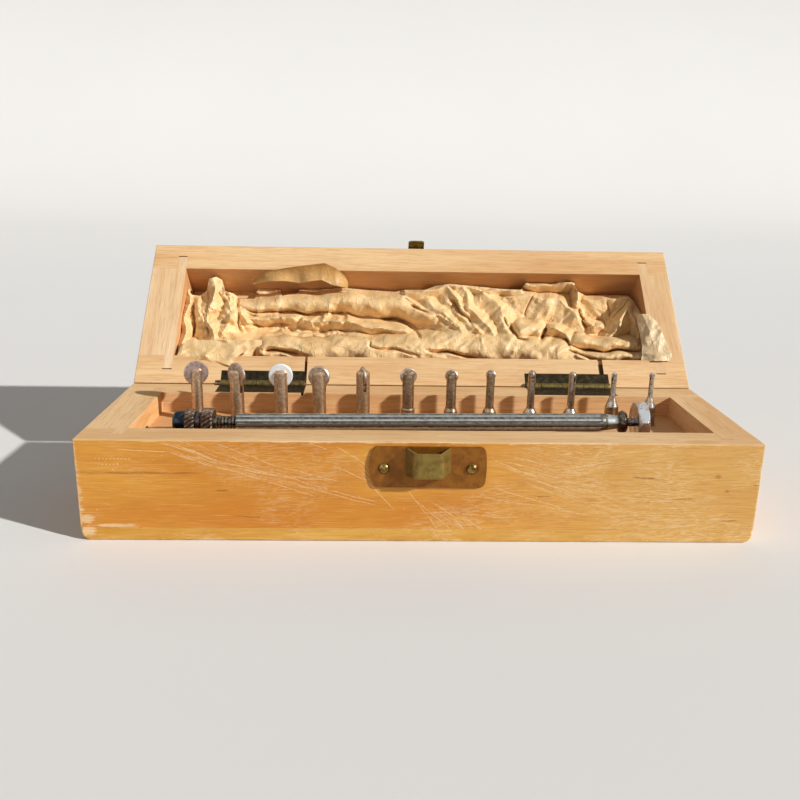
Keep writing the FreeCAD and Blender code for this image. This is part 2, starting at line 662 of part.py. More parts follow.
LID_CATCH_LOW = f"({LID_RIM} + catch_below_rim)"
LID_FACE = "(depth + pin_setback)"
LID_STUDS = f"({LID_CATCH_LOW} + lid_catch_height / 2 + stud_drop)"
tongue_plate = add_plate("tongue_plate", LID_FACE, LID_CATCH_LOW,
                         f"({LID_CATCH_LOW} + lid_catch_height)", LID_STUDS)
spring = new_sketch(tongue_plate, "YZ_Plane", "catch_offset")
SPRING_PATH = [("0", f"{LID_CATCH_LOW} + catch_sheet"), ("-tongue_bow * 0.7", "0.1"),
               ("-tongue_bow", "-tongue_drop * 0.4"), ("-tongue_bow * 0.8", "-tongue_drop")]
draw_outline(
    spring,
    [(f"-{LID_FACE} + {out}", level) for out, level in SPRING_PATH]
    + [(f"-{LID_FACE} + {out} - catch_sheet", level) for out, level in reversed(SPRING_PATH)])
strip = pad(tongue_plate, spring, "tongue_strip", both_ways=True)
doc.recompute()
lowest = strip.Shape.BoundBox.ZMin
fillet(tongue_plate, strip, lambda direction, middle: (
    abs(direction.x) + abs(direction.z) < 1e-6 and abs(middle.z - lowest) < 1e-6),
    "tongue_round")
tongue_studs = add_studs("tongue_nails", f"(-{LID_FACE} - catch_sheet)", LID_STUDS)
drill_for_studs(lid_walls[0], LID_FACE, LID_STUDS)

# Holder: made along +X from its nose, then laid on the block


def add_turned(label, corners):
    """Turn a piece round X from half its section, given as places along X and radii."""
    body = new_body(label)
    sketch = new_sketch(body, "XZ_Plane")
    draw_outline(sketch, corners)
    revolve(body, sketch, "H_Axis")
    return body


def knurled_rim(start, end, radius):
    """Give the chamfered outline of a knurled nut's rim."""
    return [(start, f"{radius} - nut_chamfer"), (f"{start} + nut_chamfer", radius),
            (f"{end} - nut_chamfer", radius), (end, f"{radius} - nut_chamfer")]


SOCKET = "(shank / 2 + shank_play)"
THREAD_BORE = "(stud_thread + thread_play)"
CLAMP_END = "(nose_length + clamp_width)"
SOCKET_END = f"({CLAMP_END} - socket_seat)"
GRIP_START = f"({LOCK_PLACE} + lock_width + thread_run)"
TAPER_START = f"({GRIP_START} + grip_length)"
TAPER_END = f"({TAPER_START} + taper_length)"
RING_END = f"({TAPER_END} + ring_width)"

nose_cap = add_turned("nose_cap", [
    ("0", SOCKET), ("0", "nose_radius - nose_round * 0.8"),
    ("nose_round * 0.3", "nose_radius - nose_round * 0.3"), ("nose_round", "nose_radius"),
    ("nose_length", "nose_radius"), ("nose_length", SOCKET),
])
clamp_nut = add_turned("clamp_nut", [
    *knurled_rim("nose_length", CLAMP_END, "clamp_radius"), (CLAMP_END, "collar_radius"),
    (f"{LOCK_PLACE} - nut_gap", "collar_radius"), (f"{LOCK_PLACE} - nut_gap", THREAD_BORE),
    (SOCKET_END, THREAD_BORE), (SOCKET_END, SOCKET), ("nose_length", SOCKET),
])
lock_nut = add_turned("lock_nut", [
    *knurled_rim(LOCK_PLACE, f"({LOCK_PLACE} + lock_width)", "lock_radius"),
    (f"({LOCK_PLACE} + lock_width)", THREAD_BORE), (LOCK_PLACE, THREAD_BORE),
])

thread = []
for number in range(int(values["thread_run"] / values["thread_pitch"])):
    groove = f"{GRIP_START} - ({number} + 0.25) * thread_pitch"
    thread += [(groove, "stud_thread"), (f"{groove} - thread_pitch * 0.25",
                                         "stud_thread - thread_groove"),
               (f"{groove} - thread_pitch * 0.5", "stud_thread")]
chuck_stud = add_turned("chuck_stud", [
    (SOCKET_END, "0"), (SOCKET_END, "stud_thread"), *reversed(thread),
    (f"{GRIP_START} + stud_root", "stud_thread"), (f"{GRIP_START} + stud_root", "0"),
])

grip = add_turned("grip", [
    (GRIP_START, "stud_thread"), (GRIP_START, "grip_radius"), (TAPER_START, "grip_radius"),
    (TAPER_END, "taper_radius"), (TAPER_END, "stem_radius + thread_play"),
    (f"{TAPER_END} - stem_root - thread_play", "stem_radius + thread_play"),
    (f"{TAPER_END} - stem_root - thread_play", "0"), (f"{GRIP_START} + stud_root", "0"),
    (f"{GRIP_START} + stud_root", "stud_thread"),
])
flutes = new_sketch(grip, "YZ_Plane", GRIP_START)
for number in range(FLUTES):
    out = "(grip_radius - flute_depth + flute_radius)"
    angle = (number + 0.5) * 360 / FLUTES
    draw_circle(flutes, f"{out} * cos({angle})", f"{out} * sin({angle})", "flute_radius")
pocket(grip, flutes, "grip_length + taper_length", upwards=True)

end_ring = add_turned("end_ring", [
    (TAPER_END, "stem_radius + thread_play"), (TAPER_END, "ring_radius * 0.8"),
    (f"{TAPER_END} + ring_width * 0.2", "ring_radius * 0.94"),
    (f"{TAPER_END} + ring_width * 0.5", "ring_radius"),
    (f"{TAPER_END} + ring_width * 0.8", "ring_radius * 0.94"),
    (RING_END, "ring_radius * 0.8"), (RING_END, "stem_radius + thread_play"),
])
swivel_stem = add_turned("swivel_stem", [
    (f"{TAPER_END} - stem_root", "0"), (f"{TAPER_END} - stem_root", "stem_radius"),
    (HANDLE_REACH, "stem_radius"), (HANDLE_REACH, "0"),
])

swivel_head = new_body("swivel_head")
hexagon = new_sketch(swivel_head, "YZ_Plane", HANDLE_REACH)
draw_outline(hexagon, [
    (f"head_flats / sqrt(3) * cos({60 * corner} - head_turn)",
     f"head_flats / sqrt(3) * sin({60 * corner} - head_turn)")
    for corner in range(6)
])
pad(swivel_head, hexagon, "head_thickness")
# The corners are turned down on both faces by a cut that leaves a cone on each side
facing = new_sketch(swivel_head, "XZ_Plane")
far = "(head_flats / sqrt(3) + 0.05)"
for face, inward in ((HANDLE_REACH, "+"), (f"({HANDLE_REACH} + head_thickness)", "-")):
    draw_outline(facing, [(face, f"{far} - 1.0"), (face, far),
                          (f"{face} {inward} head_chamfer", far)])
doc.recompute()
turning = swivel_head.newObject("PartDesign::Groove", "corner_turning")
turning.Profile = facing
turning.ReferenceAxis = (facing, ["H_Axis"])
turning.Angle = 360.0

# The graduated set: each shank has a slot and a hole for its wheel's cross pin

shanks = []
wheels = []
for number in range(1, len(TOOLS) + 1):
    tag = f"{number:02d}"
    neck, rise = f"neck_{tag}", f"({FLOOR} + top_{tag})"
    axle = f"({rise} - wheel_{tag} / 2)"
    ears = f"({axle} + {EAR_OVER_PIN} * {neck})"
    thickness = DISC % neck
    place = (f"placement(vector({tool_place(number)}; {ROW_Y}; %s);"
             f" rotation(vector(0; 0; 1); turn_{tag}))")

    shank = new_body(f"shank_{tag}")
    foot = f"({FLOOR} - hole_depth + shank_play)"
    section = new_sketch(shank, "XZ_Plane")
    draw_outline(section, [
        ("0", foot), ("shank / 2 - shank_chamfer", foot),
        ("shank / 2", f"{foot} + shank_chamfer"),
        ("shank / 2", f"{FLOOR} + flare_foot_{tag}"),
        (f"{neck} / 2", f"{FLOOR} + flare_top_{tag}"),
        (f"{neck} / 2", f"{ears} - {TOP_CHAMFER} * {neck}"),
        (f"{neck} * (0.5 - {TOP_CHAMFER})", ears), ("0", ears),
    ])
    revolve(shank, section, "V_Axis")
    slot = new_sketch(shank, "XZ_Plane")
    draw_rectangle(slot, f"-{neck}", f"{rise} - wheel_{tag} - {SLOT_UNDER_WHEEL} * {neck}",
                   neck, f"{ears} + 1")
    pocket(shank, slot, f"{thickness} + 2 * slot_play", both_ways=True)
    pin_hole = new_sketch(shank, "XZ_Plane")
    draw_circle(pin_hole, "0", axle, f"{CROSS_PIN} * {neck} / 2 + pin_play")
    pocket(shank, pin_hole, f"2 * {neck}", both_ways=True)
    shanks.append(bind(shank, Placement=place % "0"))

    half, edge = f"{thickness} / 2", f"{RIM_CHAMFER} * {thickness}"
    disc = new_body(f"disc_{tag}")
    rim = new_sketch(disc, "YZ_Plane")
    draw_outline(rim, [
        (f"-{half}", f"{CROSS_PIN} * {neck} / 2"), (f"-{half}", f"wheel_{tag} / 2 - {edge}"),
        (f"-{half} + {edge}", f"wheel_{tag} / 2"), (f"{half} - {edge}", f"wheel_{tag} / 2"),
        (half, f"wheel_{tag} / 2 - {edge}"), (half, f"{CROSS_PIN} * {neck} / 2"),
    ])
    revolve(disc, rim, "H_Axis")
    pin = make_cylinder(f"cross_pin_{tag}", f"{CROSS_PIN} * {neck} / 2", f"{neck} - pin_play * 4",
                        ("0", f"-({neck} / 2 - pin_play * 2)", "0"), Vector(0, 1, 0))
    wheels.append(bind(group(f"wheel_{tag}", [disc, pin]), Placement=place % axle))

# Waxed paper crumpled into the lid

wrapping_paper = new_body("wrapping_paper")
layers = []
for layer in range(PAPER_SECTIONS):
    across = (f"-{HALF} + left_wall + paper_gap + {layer} / {PAPER_SECTIONS - 1}"
              " * (length - left_wall - right_wall - 2 * paper_gap)")
    outline = new_sketch(wrapping_paper, "YZ_Plane", across)
    low_y = "(-pin_setback - depth + front_wall + paper_gap)"
    high_y = "(-pin_setback - back_wall - paper_gap)"
    corners = [(high_y, LID_BOARD), (low_y, LID_BOARD)]
    for point in range(PAPER_POINTS):
        fold = round(math.sin(1.9 * layer + 2.6 * point) * math.cos(0.8 * layer * point), 2)
        corners.append((f"{low_y} + {point} / {PAPER_POINTS - 1} * ({high_y} - {low_y})",
                        f"{LID_BOARD} - paper_rise - paper_folds * ({fold})"))
    draw_outline(outline, corners)
    layers.append(outline)
paper_loft = wrapping_paper.newObject("PartDesign::AdditiveLoft", "folds")
paper_loft.Profile = layers[0]
paper_loft.Sections = layers[1:]
paper_loft.Ruled = True

# Places of the pieces that aren't modelled where they stand

for piece in base_hinge_parts:
    bind(piece, Placement=f"placement(vector(0; {PIN_Y}; {PIN_Z}); rotation(vector(1; 0; 0); 0))")
lid_pieces = [*lid_walls, top_board, *lid_hinge_parts, tongue_plate, tongue_studs, wrapping_paper]
for piece in lid_pieces:
    bind(piece, Placement=IN_LID)
handle_pieces = [nose_cap, clamp_nut, lock_nut, chuck_stud, grip, end_ring, swivel_stem,
                 swivel_head]
for piece in handle_pieces:
    bind(piece, Placement=IN_HANDLE)
doc.recompute()

# Checks, then one STEP file for each piece

faults = [f"{obj.Label}: {obj.State}" for obj in doc.Objects
          if {"Invalid", "Error"} & set(obj.State)]
pieces = [*base_walls, bottom_board, tool_block, *base_hinge_parts, catch_plate, catch_studs,
          *lid_pieces, *handle_pieces, *shanks, *wheels]
for piece in pieces:
    if piece.Shape.isNull() or not piece.Shape.isValid() or not piece.Shape.Solids:
        faults.append(f"{piece.Label}: bad shape")
if len({piece.Label for piece in pieces}) != len(pieces):
    faults.append("two pieces share a label")
if faults:
    raise RuntimeError("; ".join(faults))

os.makedirs("parts", exist_ok=True)
for piece in pieces:
    piece.Shape.exportStep(f"parts/{piece.Label}.step")
print(f"{len(pieces)} pieces written")
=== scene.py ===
"""Dressing of a watchmaker's tool box: varnished wood, aged brass, steel tools and waxed paper.

Lengths are written in millimetres and turned to metres where a mesh is made. The box stands
with its middle at the origin, its front towards -Y and its lid leaning back on the hinges.
"""

from __future__ import annotations

import json
import logging
import math
import random
from contextlib import contextmanager
from dataclasses import dataclass, field
from enum import Enum
from functools import partial
from typing import Any, Callable, Iterator, Sequence

import bmesh
import bpy
import numpy as np
from mathutils import Euler, Matrix, Vector

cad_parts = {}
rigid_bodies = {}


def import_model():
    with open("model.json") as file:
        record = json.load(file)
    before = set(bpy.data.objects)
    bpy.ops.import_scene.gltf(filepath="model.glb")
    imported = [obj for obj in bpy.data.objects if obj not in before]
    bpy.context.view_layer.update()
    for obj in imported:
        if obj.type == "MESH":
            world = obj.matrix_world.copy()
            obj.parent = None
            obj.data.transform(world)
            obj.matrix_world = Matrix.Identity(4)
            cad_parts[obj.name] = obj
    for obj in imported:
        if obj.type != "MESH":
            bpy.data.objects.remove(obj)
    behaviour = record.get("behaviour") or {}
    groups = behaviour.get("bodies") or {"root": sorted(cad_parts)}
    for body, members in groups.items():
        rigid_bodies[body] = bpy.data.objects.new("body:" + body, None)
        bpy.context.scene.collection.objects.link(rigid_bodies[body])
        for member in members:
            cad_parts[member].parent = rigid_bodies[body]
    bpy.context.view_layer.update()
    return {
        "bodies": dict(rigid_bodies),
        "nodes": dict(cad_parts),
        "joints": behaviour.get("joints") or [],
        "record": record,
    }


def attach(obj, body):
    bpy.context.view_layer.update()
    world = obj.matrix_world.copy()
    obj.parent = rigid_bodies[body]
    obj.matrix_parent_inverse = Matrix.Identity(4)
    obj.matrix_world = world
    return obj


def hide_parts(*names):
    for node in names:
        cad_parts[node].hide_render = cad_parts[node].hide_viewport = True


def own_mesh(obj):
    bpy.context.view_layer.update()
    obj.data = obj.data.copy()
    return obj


LOG = logging.getLogger("tool_box")

MM = 0.001
HALF_LENGTH = 75.0
HALF_DEPTH = 23.1
BASE_HEIGHT = 23.6
LID_HEIGHT = 14.8
LID_ANGLE = math.radians(134.0)
HINGE_LINE = Vector((0.0, 23.25, 23.7))
LID_RIM = 0.1
LID_FLOOR = 11.7
LID_UP = Vector((0, math.sin(LID_ANGLE), math.cos(LID_ANGLE)))

SMOOTH = {"interpolation_type": "SMOOTHSTEP"}
COLOURS = {"output": 2, "data_type": "RGBA"}
OBJECT_PLACE = 3    # the texture coordinates' output for the place on the object
FOLD = "fold"       # the paper's attribute that tells its crests from its valleys
THROUGH = 1000.0    # half width of a patch through the board, where it has no end
# Slope, stretch along it, threshold and strength of each set of hairline scratches
HAIRLINES = ((0.32, 0.09, 0.64, 0.6), (0.07, 0.14, 0.60, 0.7), (-0.10, 0.17, 0.62, 0.6),
             (0.02, 0.45, 0.55, 0.6))

Socket = bpy.types.NodeSocket
Piece = bpy.types.Object
Test = Callable[[Any, bmesh.types.BMesh], bool]


def linear(hex_colour: str) -> tuple[float, float, float, float]:
    """Turn an sRGB hex colour to linear.

    Args:
        hex_colour: six hex digits after a hash sign.

    Returns:
        Red, green, blue and an alpha of one.
    """
    parts = [int(hex_colour[i:i + 2], 16) / 255 for i in (1, 3, 5)]
    red, green, blue = [
        c / 12.92 if c <= 0.04045 else ((c + 0.055) / 1.055) ** 2.4 for c in parts]
    return red, green, blue, 1.0


def add_node(tree: bpy.types.NodeTree, kind: str,
             inputs: dict[int | str, Any] | Sequence[Any] = (), output: int = 0,
             **settings: Any) -> Socket:
    """Add a node with its settings and links.

    Args:
        tree: the material's node tree.
        kind: the node's type without its ShaderNode prefix.
        inputs: values or sockets for the node's inputs, in their order or by name or number.
        output: the number of the output wanted.
        **settings: properties of the node.

    Returns:
        The wanted output socket.
    """
    node = tree.nodes.new(f"ShaderNode{kind}")
    for name, value in settings.items():
        setattr(node, name, value)
    pairs = inputs if isinstance(inputs, dict) else dict(enumerate(inputs))
    for key, value in pairs.items():
        if isinstance(value, Socket):
            tree.links.new(value, node.inputs[key])
        else:
            node.inputs[key].default_value = value
    return node.outputs[output]


class Slot(Enum):
    """Material slots of the record."""

    VARNISHED = "varnished_wood"
    BLOCK = "block_wood"
    HINGE = "hinge_brass"
    CATCH = "catch_brass"
    BROWNED = "browned_steel"
    DARK = "dark_steel"
    BRIGHT = "bright_steel"
    BLUED = "blued_steel"
    PAPER = "waxed_paper"


class Grain(Enum):
    """Which way the grain of a board runs."""

    ALONG = "along the box"
    ACROSS = "across the box"


class Part(Enum):
    """Which half of the box a piece of wood belongs to."""

    BASE = "base"
    LID = "lid"


@dataclass(frozen=True)
class Finish:
    """A surface finish; each kind fills the tree of its own material."""

    name: str

    def build(self) -> bpy.types.Material:
        """Make the material."""
        material = bpy.data.materials.new(self.name)
        material.use_nodes = True
        tree = material.node_tree
        self.fill(tree, tree.nodes["Principled BSDF"])
        return material

    def fill(self, tree: bpy.types.NodeTree, shader: bpy.types.Node) -> None:
        """Fill the material's tree.

        Args:
            tree: the node tree.
            shader: its Principled shader.
        """
        raise NotImplementedError

    @staticmethod
    def connect(tree: bpy.types.NodeTree, shader: bpy.types.Node,
                inputs: dict[str, Socket | float]) -> None:
        """Link or set inputs of the shader.

        Args:
            tree: the node tree.
            shader: its Principled shader.
            inputs: a socket or a plain value for each input's name.
        """
        for name, value in inputs.items():
            if isinstance(value, Socket):
                tree.links.new(value, shader.inputs[name])
            else:
                shader.inputs[name].default_value = value

    @staticmethod
    def millimetres(tree: bpy.types.NodeTree) -> Socket:
        """Give the place on the object in millimetres."""
        where = add_node(tree, "TexCoord", output=OBJECT_PLACE)
        return add_node(tree, "Mapping", {"Vector": where, "Scale": (1000,) * 3})


@dataclass(frozen=True)
class Wood(Finish):
    """Pale beech, planed and glued, with old honey varnish on its outer faces only.

    The varnish has worn through along the arrises and is scratched; the rims and the inside
    are bare. Patterns are worked out in millimetres on the closed box.
    """

    grain: Grain = Grain.ALONG
    part: Part = Part.BASE
    varnish: str = "#CC8125"
    varnish_pale: str = "#DA9A3C"
    # The colour that the varnish pales to at the right end: a painted light, where the key
    # light falls stronger
    varnish_lit_right: str = "#D8A85C"
    bare: str = "#EBC592"
    bare_deep: str = "#DFB27C"
    # Inside colours, warmer than the bare rims: a painted orange bounce light; darker ones are
    # given where the inside lies in shade
    inside: str = "#EFC18D"
    inside_deep: str = "#DAA66B"
    streaks: tuple[tuple[float, float, float, float], ...] = ()
    knots: tuple[tuple[float, float, float], ...] = ()
    cuts: tuple[tuple[tuple[float, float], ...], ...] = ()
    scuffs: tuple[tuple[float, float, float, float, float], ...] = ()
    bald: tuple[tuple[float, float, float, float], ...] = ()
    drips: tuple[tuple[float, float, float, float], ...] = ()
    dotted: tuple[tuple[float, float, float], ...] = ()
    scratch: float = 0.0
    # How far the varnish pales towards the right end: a painted light
    right_light: float = 0.0
    offset: float = 0.0

    def place(self, tree: bpy.types.NodeTree) -> Socket:
        """Give the place on the closed box in millimetres, with Z up from the outer board."""
        if self.part is Part.BASE:
            return self.millimetres(tree)
        turn = Euler((-LID_ANGLE, 0, 0)).to_matrix()
        mirrored = Vector((HINGE_LINE.x, HINGE_LINE.y, -HINGE_LINE.z))
        shift = Vector((0, HINGE_LINE.y, LID_RIM + LID_HEIGHT)) - turn @ mirrored
        return add_node(tree, "Mapping", {
            "Vector": add_node(tree, "TexCoord", output=OBJECT_PLACE), "Location": shift,
            "Scale": (1000, 1000, -1000), "Rotation": (-LID_ANGLE, 0, 0)})

    def around(self, tree: bpy.types.NodeTree, place: Socket, middle: Sequence[float],
               size: Sequence[float], turn: float = 0.0) -> tuple[Socket, Socket]:
        """Measure from the middle of a patch on the wood.

        Args:
            tree: the material's node tree.
            place: the place in millimetres.
            middle: the patch's middle.
            size: its half widths; through the board it has no end.
            turn: its turn on a front face.

        Returns:
            The place measured from the middle, and the distance; both are one at the edge.
        """
        local = add_node(tree, "Mapping", {
            "Vector": place, "Location": middle, "Rotation": (0, turn, 0), "Scale": size},
            vector_type="TEXTURE")
        return local, add_node(tree, "VectorMath", (local,), 1, operation="LENGTH")

    def cut_lines(self, tree: bpy.types.NodeTree, place: Socket, bent: Socket) -> Socket:
        """Draw the single scratches, and bundles of fine parallel ones.

        A scratch is about a tenth of a millimetre wide, too fine to show, and is drawn twice
        as wide.

        Args:
            tree: the material's node tree.
            place: the place in millimetres.
            bent: the same, bent a little, so that scratches aren't ruled lines.

        Returns:
            How much of each spot is scratched, from none to one.
        """
        node = partial(add_node, tree)
        total: Socket | float = 0.0
        for line in self.cuts:
            for (first_x, first_z), (last_x, last_z) in zip(line[:-1], line[1:]):
                slope = math.atan2(last_z - first_z, last_x - first_x)
                half = math.hypot(last_x - first_x, last_z - first_z) / 2
                middle = ((first_x + last_x) / 2, 0, (first_z + last_z) / 2)
                local = node("Mapping", {"Vector": bent, "Location": middle,
                                         "Rotation": (0, -slope, 0)}, vector_type="TEXTURE")
                size = node("VectorMath", (local,), operation="ABSOLUTE")
                along, _, across = node("SeparateXYZ", (size,)).node.outputs
                run = node("MapRange", (along, half * 0.8, half * 1.04, 1.0, 0.0))
                drawn = node("MapRange", (across, 0.03, 0.12, 1.0, 0.0))
                drawn = node("Math", (run, drawn), operation="MULTIPLY")
                total = node("Math", (total, drawn), operation="MAXIMUM")
        for middle_x, middle_z, half_x, half_z, slope in self.scuffs:
            local, away = self.around(tree, bent, (middle_x, 0, middle_z),
                                      (half_x, THROUGH, half_z), -math.radians(slope))
            near = node("MapRange", (away, 0.35, 1.0, 1.0, 0.0), **SMOOTH)
            thin = node("Mapping", {"Vector": local, "Scale": (half_x * 0.06, 1, half_z * 6.0)})
            drawn = node("TexNoise", {"Vector": thin, "Scale": 1.0, "Detail": 2.0})
            drawn = node("MapRange", (drawn, 0.55, 0.62))
            drawn = node("Math", (near, drawn), operation="MULTIPLY")
            total = node("Math", (total, drawn), operation="MAXIMUM")
        broken = node("TexNoise", {"Vector": place, "Scale": 1.3, "Detail": 3.0})
        broken = node("MapRange", (broken, 0.36, 0.52, 0.25, 1.0))
        return node("Math", (total, broken), operation="MULTIPLY")

    def scratches(self, tree: bpy.types.NodeTree, place: Socket, fields: Socket,
                  wear: Socket) -> Socket:
        """Draw all scratches: single ones, fields of hairlines, pinpricks and dotted rows.

        Args:
            tree: the material's node tree.
            place: the place in millimetres.
            fields: noise that says where the hairlines lie.
            wear: noise that says where the pinpricks lie.

        Returns:
            How much of each spot is scratched, from none to one.
        """
        node = partial(add_node, tree)
        x, _, z = node("SeparateXYZ", (place,)).node.outputs
        bend = node("TexNoise", {"Vector": place, "Scale": 0.11, "Detail": 2.0}, 1)
        bend = node("VectorMath", (bend, (0.5, 0.5, 0.5)), operation="SUBTRACT")
        bend = node("VectorMath", {0: bend, 3: 1.5}, operation="SCALE")
        bent = node("VectorMath", (place, bend), operation="ADD")
        total = self.cut_lines(tree, place, bent)
        fields = node("MapRange", (fields, 0.42, 0.60), **SMOOTH)
        right = node("MapRange", (x, -15.0, 30.0, 0.55, 1.0))
        fields = node("Math", (fields, right), operation="MULTIPLY")
        for slope, stretch, least, most in HAIRLINES:
            turned = node("Mapping", {"Vector": bent, "Rotation": (0, slope, 0)})
            fine = (stretch, 4.6) if self.grain is Grain.ALONG else (4.6, stretch)
            thin = node("Mapping", {"Vector": turned, "Scale": (*fine, 4.6)})
            drawn = node("TexNoise", {"Vector": thin, "Scale": 1.0, "Detail": 1.5})
            drawn = node("MapRange", (drawn, least, least + 0.08, 0.0, most))
            drawn = node("Math", (drawn, fields), operation="MULTIPLY")
            total = node("Math", (total, drawn), operation="MAXIMUM")
        dots = node("TexVoronoi", {"Vector": place, "Scale": 0.9})
        dots = node("MapRange", (dots, 0.08, 0.17, 1.0, 0.0))
        specked = node("MapRange", (wear, 0.52, 0.64), **SMOOTH)
        dots = node("Math", (dots, specked), operation="MULTIPLY")
        total = node("Math", (total, dots), operation="MAXIMUM")
        for first, last, level in self.dotted:
            run = node("Math", (x, first), operation="SUBTRACT")
            beat = node("Math", (run, 0.4), operation="PINGPONG")
            rise = node("Math", (z, level), operation="SUBTRACT")
            spot = node("CombineXYZ", (beat, rise))
            away = node("VectorMath", (spot,), 1, operation="LENGTH")
            drawn = node("MapRange", (away, 0.08, 0.18, 1.0, 0.0))
            for end, way in ((0.0, "GREATER_THAN"), (last - first, "LESS_THAN")):
                within = node("Math", (run, end), operation=way)
                drawn = node("Math", (drawn, within), operation="MULTIPLY")
            total = node("Math", (total, drawn), operation="MAXIMUM")
        return total

    def fill(self, tree: bpy.types.NodeTree, shader: bpy.types.Node) -> None:
        """Fill the wood's tree: grain, varnish, wear, scratches and dirt, with painted light
        and shade: paler varnish to the right, warmer inside faces, dark joint recesses.
        """
        node = partial(add_node, tree)
        place = self.place(tree)
        x, y, z = node("SeparateXYZ", (place,)).node.outputs

        # Distances to the outer faces, and from there to the nearest arris. A board's ends are
        # rounded by 2 mm, so the middle of the rounding lies 0.6 mm inside the outer faces.
        height = BASE_HEIGHT if self.part is Part.BASE else LID_HEIGHT
        centred = node("VectorMath", (place, (0, 0, height / 2)), operation="SUBTRACT")
        spread = node("VectorMath", (centred,), operation="ABSOLUTE")
        inset = node("VectorMath", ((HALF_LENGTH, HALF_DEPTH, height / 2), spread),
                     operation="SUBTRACT")
        in_x, in_y, in_z = node("SeparateXYZ", (inset,)).node.outputs
        side = node("Math", (in_x, in_y), operation="MINIMUM")
        far_side = node("Math", (in_x, in_y), operation="MAXIMUM")
        arris = node("Math", (far_side, in_z), operation="MINIMUM")
        arris = node("Math", (side, arris), operation="MAXIMUM")
        skin = node("Math", (side, z), operation="MINIMUM")
        outer = node("MapRange", (skin, 0.62, 0.9, 1.0, 0.0), **SMOOTH)
        rim = node("MapRange", (z, height - 0.4, height - 0.1), **SMOOTH)
        not_rim = node("MapRange", (rim, 0.0, 1.0, 1.0, 0.0))
        in_wall = node("MapRange", (side, 7.3, 7.7, 1.0, 0.0), **SMOOTH)

        # The grain runs along the board; each board is cut from its own part of the plank
        along, across = (x, y) if self.grain is Grain.ALONG else (y, x)
        along = node("Math", (along, self.offset), operation="ADD")
        plank = node("CombineXYZ", (along, across, z))
        patterns = []
        for base, scale, detail, rough in (
                (plank, (0.15, 3.2, 3.2), 5.0, 0.62),      # fibres a third of a millimetre wide
                (plank, (0.30, 5.5, 5.5), 2.0, 0.5),       # short pores, drawn wider than real
                (plank, (0.010, 0.32, 0.32), 3.0, 0.55),   # growth bands about 3 mm apart
                (plank, (0.020, 0.09, 0.09), 3.0, 0.55),   # clouds of varnish
                (plank, (0.22, 0.50, 0.50), 6.0, 0.7),     # edge wear
                (plank, (0.09, 0.13, 0.13), 6.0, 0.7),     # dirt
                (place, (0.12, 0.1, 0.1), 2.0, 0.5),       # wandering of the streaks
                (place, (0.05, 0.08, 0.08), 2.0, 0.5)):    # fields of hairline scratches
            stretched = node("Mapping", {"Vector": base, "Scale": scale})
            patterns.append(node("TexNoise", {"Vector": stretched, "Scale": 1.0,
                                              "Detail": detail, "Roughness": rough}))
        fibres, pores, bands, clouds, wear, dirt, wander, fields = patterns

        # Where varnish is left: worn off along the arrises and in ragged patches, spilt on rims
        wear_width = node("MapRange", (wear, 0.42, 0.74, 0.12, 0.9))
        wear_left = node("Math", (arris, wear_width), operation="SUBTRACT")
        worn = node("MapRange", (wear_left, -0.2, 0.15, 1.0, 0.0), **SMOOTH)
        kept = node("Math", (1.0, worn), operation="SUBTRACT")
        grit = node("MapRange", (fibres, 0.30, 0.70, 0.0, 0.9))
        ragged = node("MapRange", (wear, 0.34, 0.66, 0.0, 0.9))
        ragged = node("Math", (ragged, grit), operation="ADD")
        for middle_x, middle_z, half_x, half_z in self.bald:
            _, away = self.around(tree, place, (middle_x, 0, middle_z),
                                  (half_x, THROUGH, half_z))
            away = node("Math", (away, ragged), operation="ADD")
            away = node("MapRange", (away, 1.35, 1.65))
            kept = node("Math", (kept, away), operation="MULTIPLY")
        covered = node("Math", (outer, not_rim), operation="MULTIPLY")
        covered = node("Math", (covered, kept), operation="MULTIPLY")
        for middle_x, middle_y, half_x, half_y in self.drips:
            _, away = self.around(tree, place, (middle_x, middle_y, 0),
                                  (half_x, half_y, THROUGH))
            spilt = node("MapRange", (away, 0.75, 1.1, 0.8, 0.0), **SMOOTH)
            covered = node("Math", (covered, spilt), operation="MAXIMUM")

        paler = node("MapRange", (clouds, 0.34, 0.70), **SMOOTH)
        varnish = node("Mix", {0: paler, 6: linear(self.varnish),
                               7: linear(self.varnish_pale)}, **COLOURS)
        # Painted light: the varnish pales towards the right end of the box, standing in for the
        # stronger key light there
        lit_from_right = node("MapRange", (x, 2.0, 58.0, 0.0, self.right_light), **SMOOTH)
        varnish = node("Mix", {0: lit_from_right, 6: varnish, 7: linear(self.varnish_lit_right)}, **COLOURS)
        lighter = node("MapRange", (clouds, 0.35, 0.65), **SMOOTH)
        # Painted light and shade: the inside faces get their own colours, warmer than the bare
        # ones for orange bounce light, and darker in the lid and on the block, where they lie
        # in shade
        bare, inside = [
            node("Mix", {0: lighter, 6: linear(pale), 7: linear(deep)}, **COLOURS)
            for pale, deep in ((self.bare, self.bare_deep), (self.inside, self.inside_deep))]
        opened = node("Math", (outer, rim), operation="MAXIMUM")
        colour = node("Mix", {0: opened, 6: inside, 7: bare}, **COLOURS)
        colour = node("Mix", {0: covered, 6: colour, 7: varnish}, **COLOURS)
        for noise, low, high, most, tint in (
                (bands, 0.42, 0.72, 0.26, "#C57F33"), (fibres, 0.44, 0.72, 0.38, "#A86A2C"),
                (fibres, 0.46, 0.24, 0.30, "#F3D3A0"), (pores, 0.64, 0.76, 0.26, "#7A4A22")):
            share = node("MapRange", (noise, low, high, 0.0, most), **SMOOTH)
            colour = node("Mix", {0: share, 6: colour, 7: linear(tint)}, **COLOURS)
        pored = share

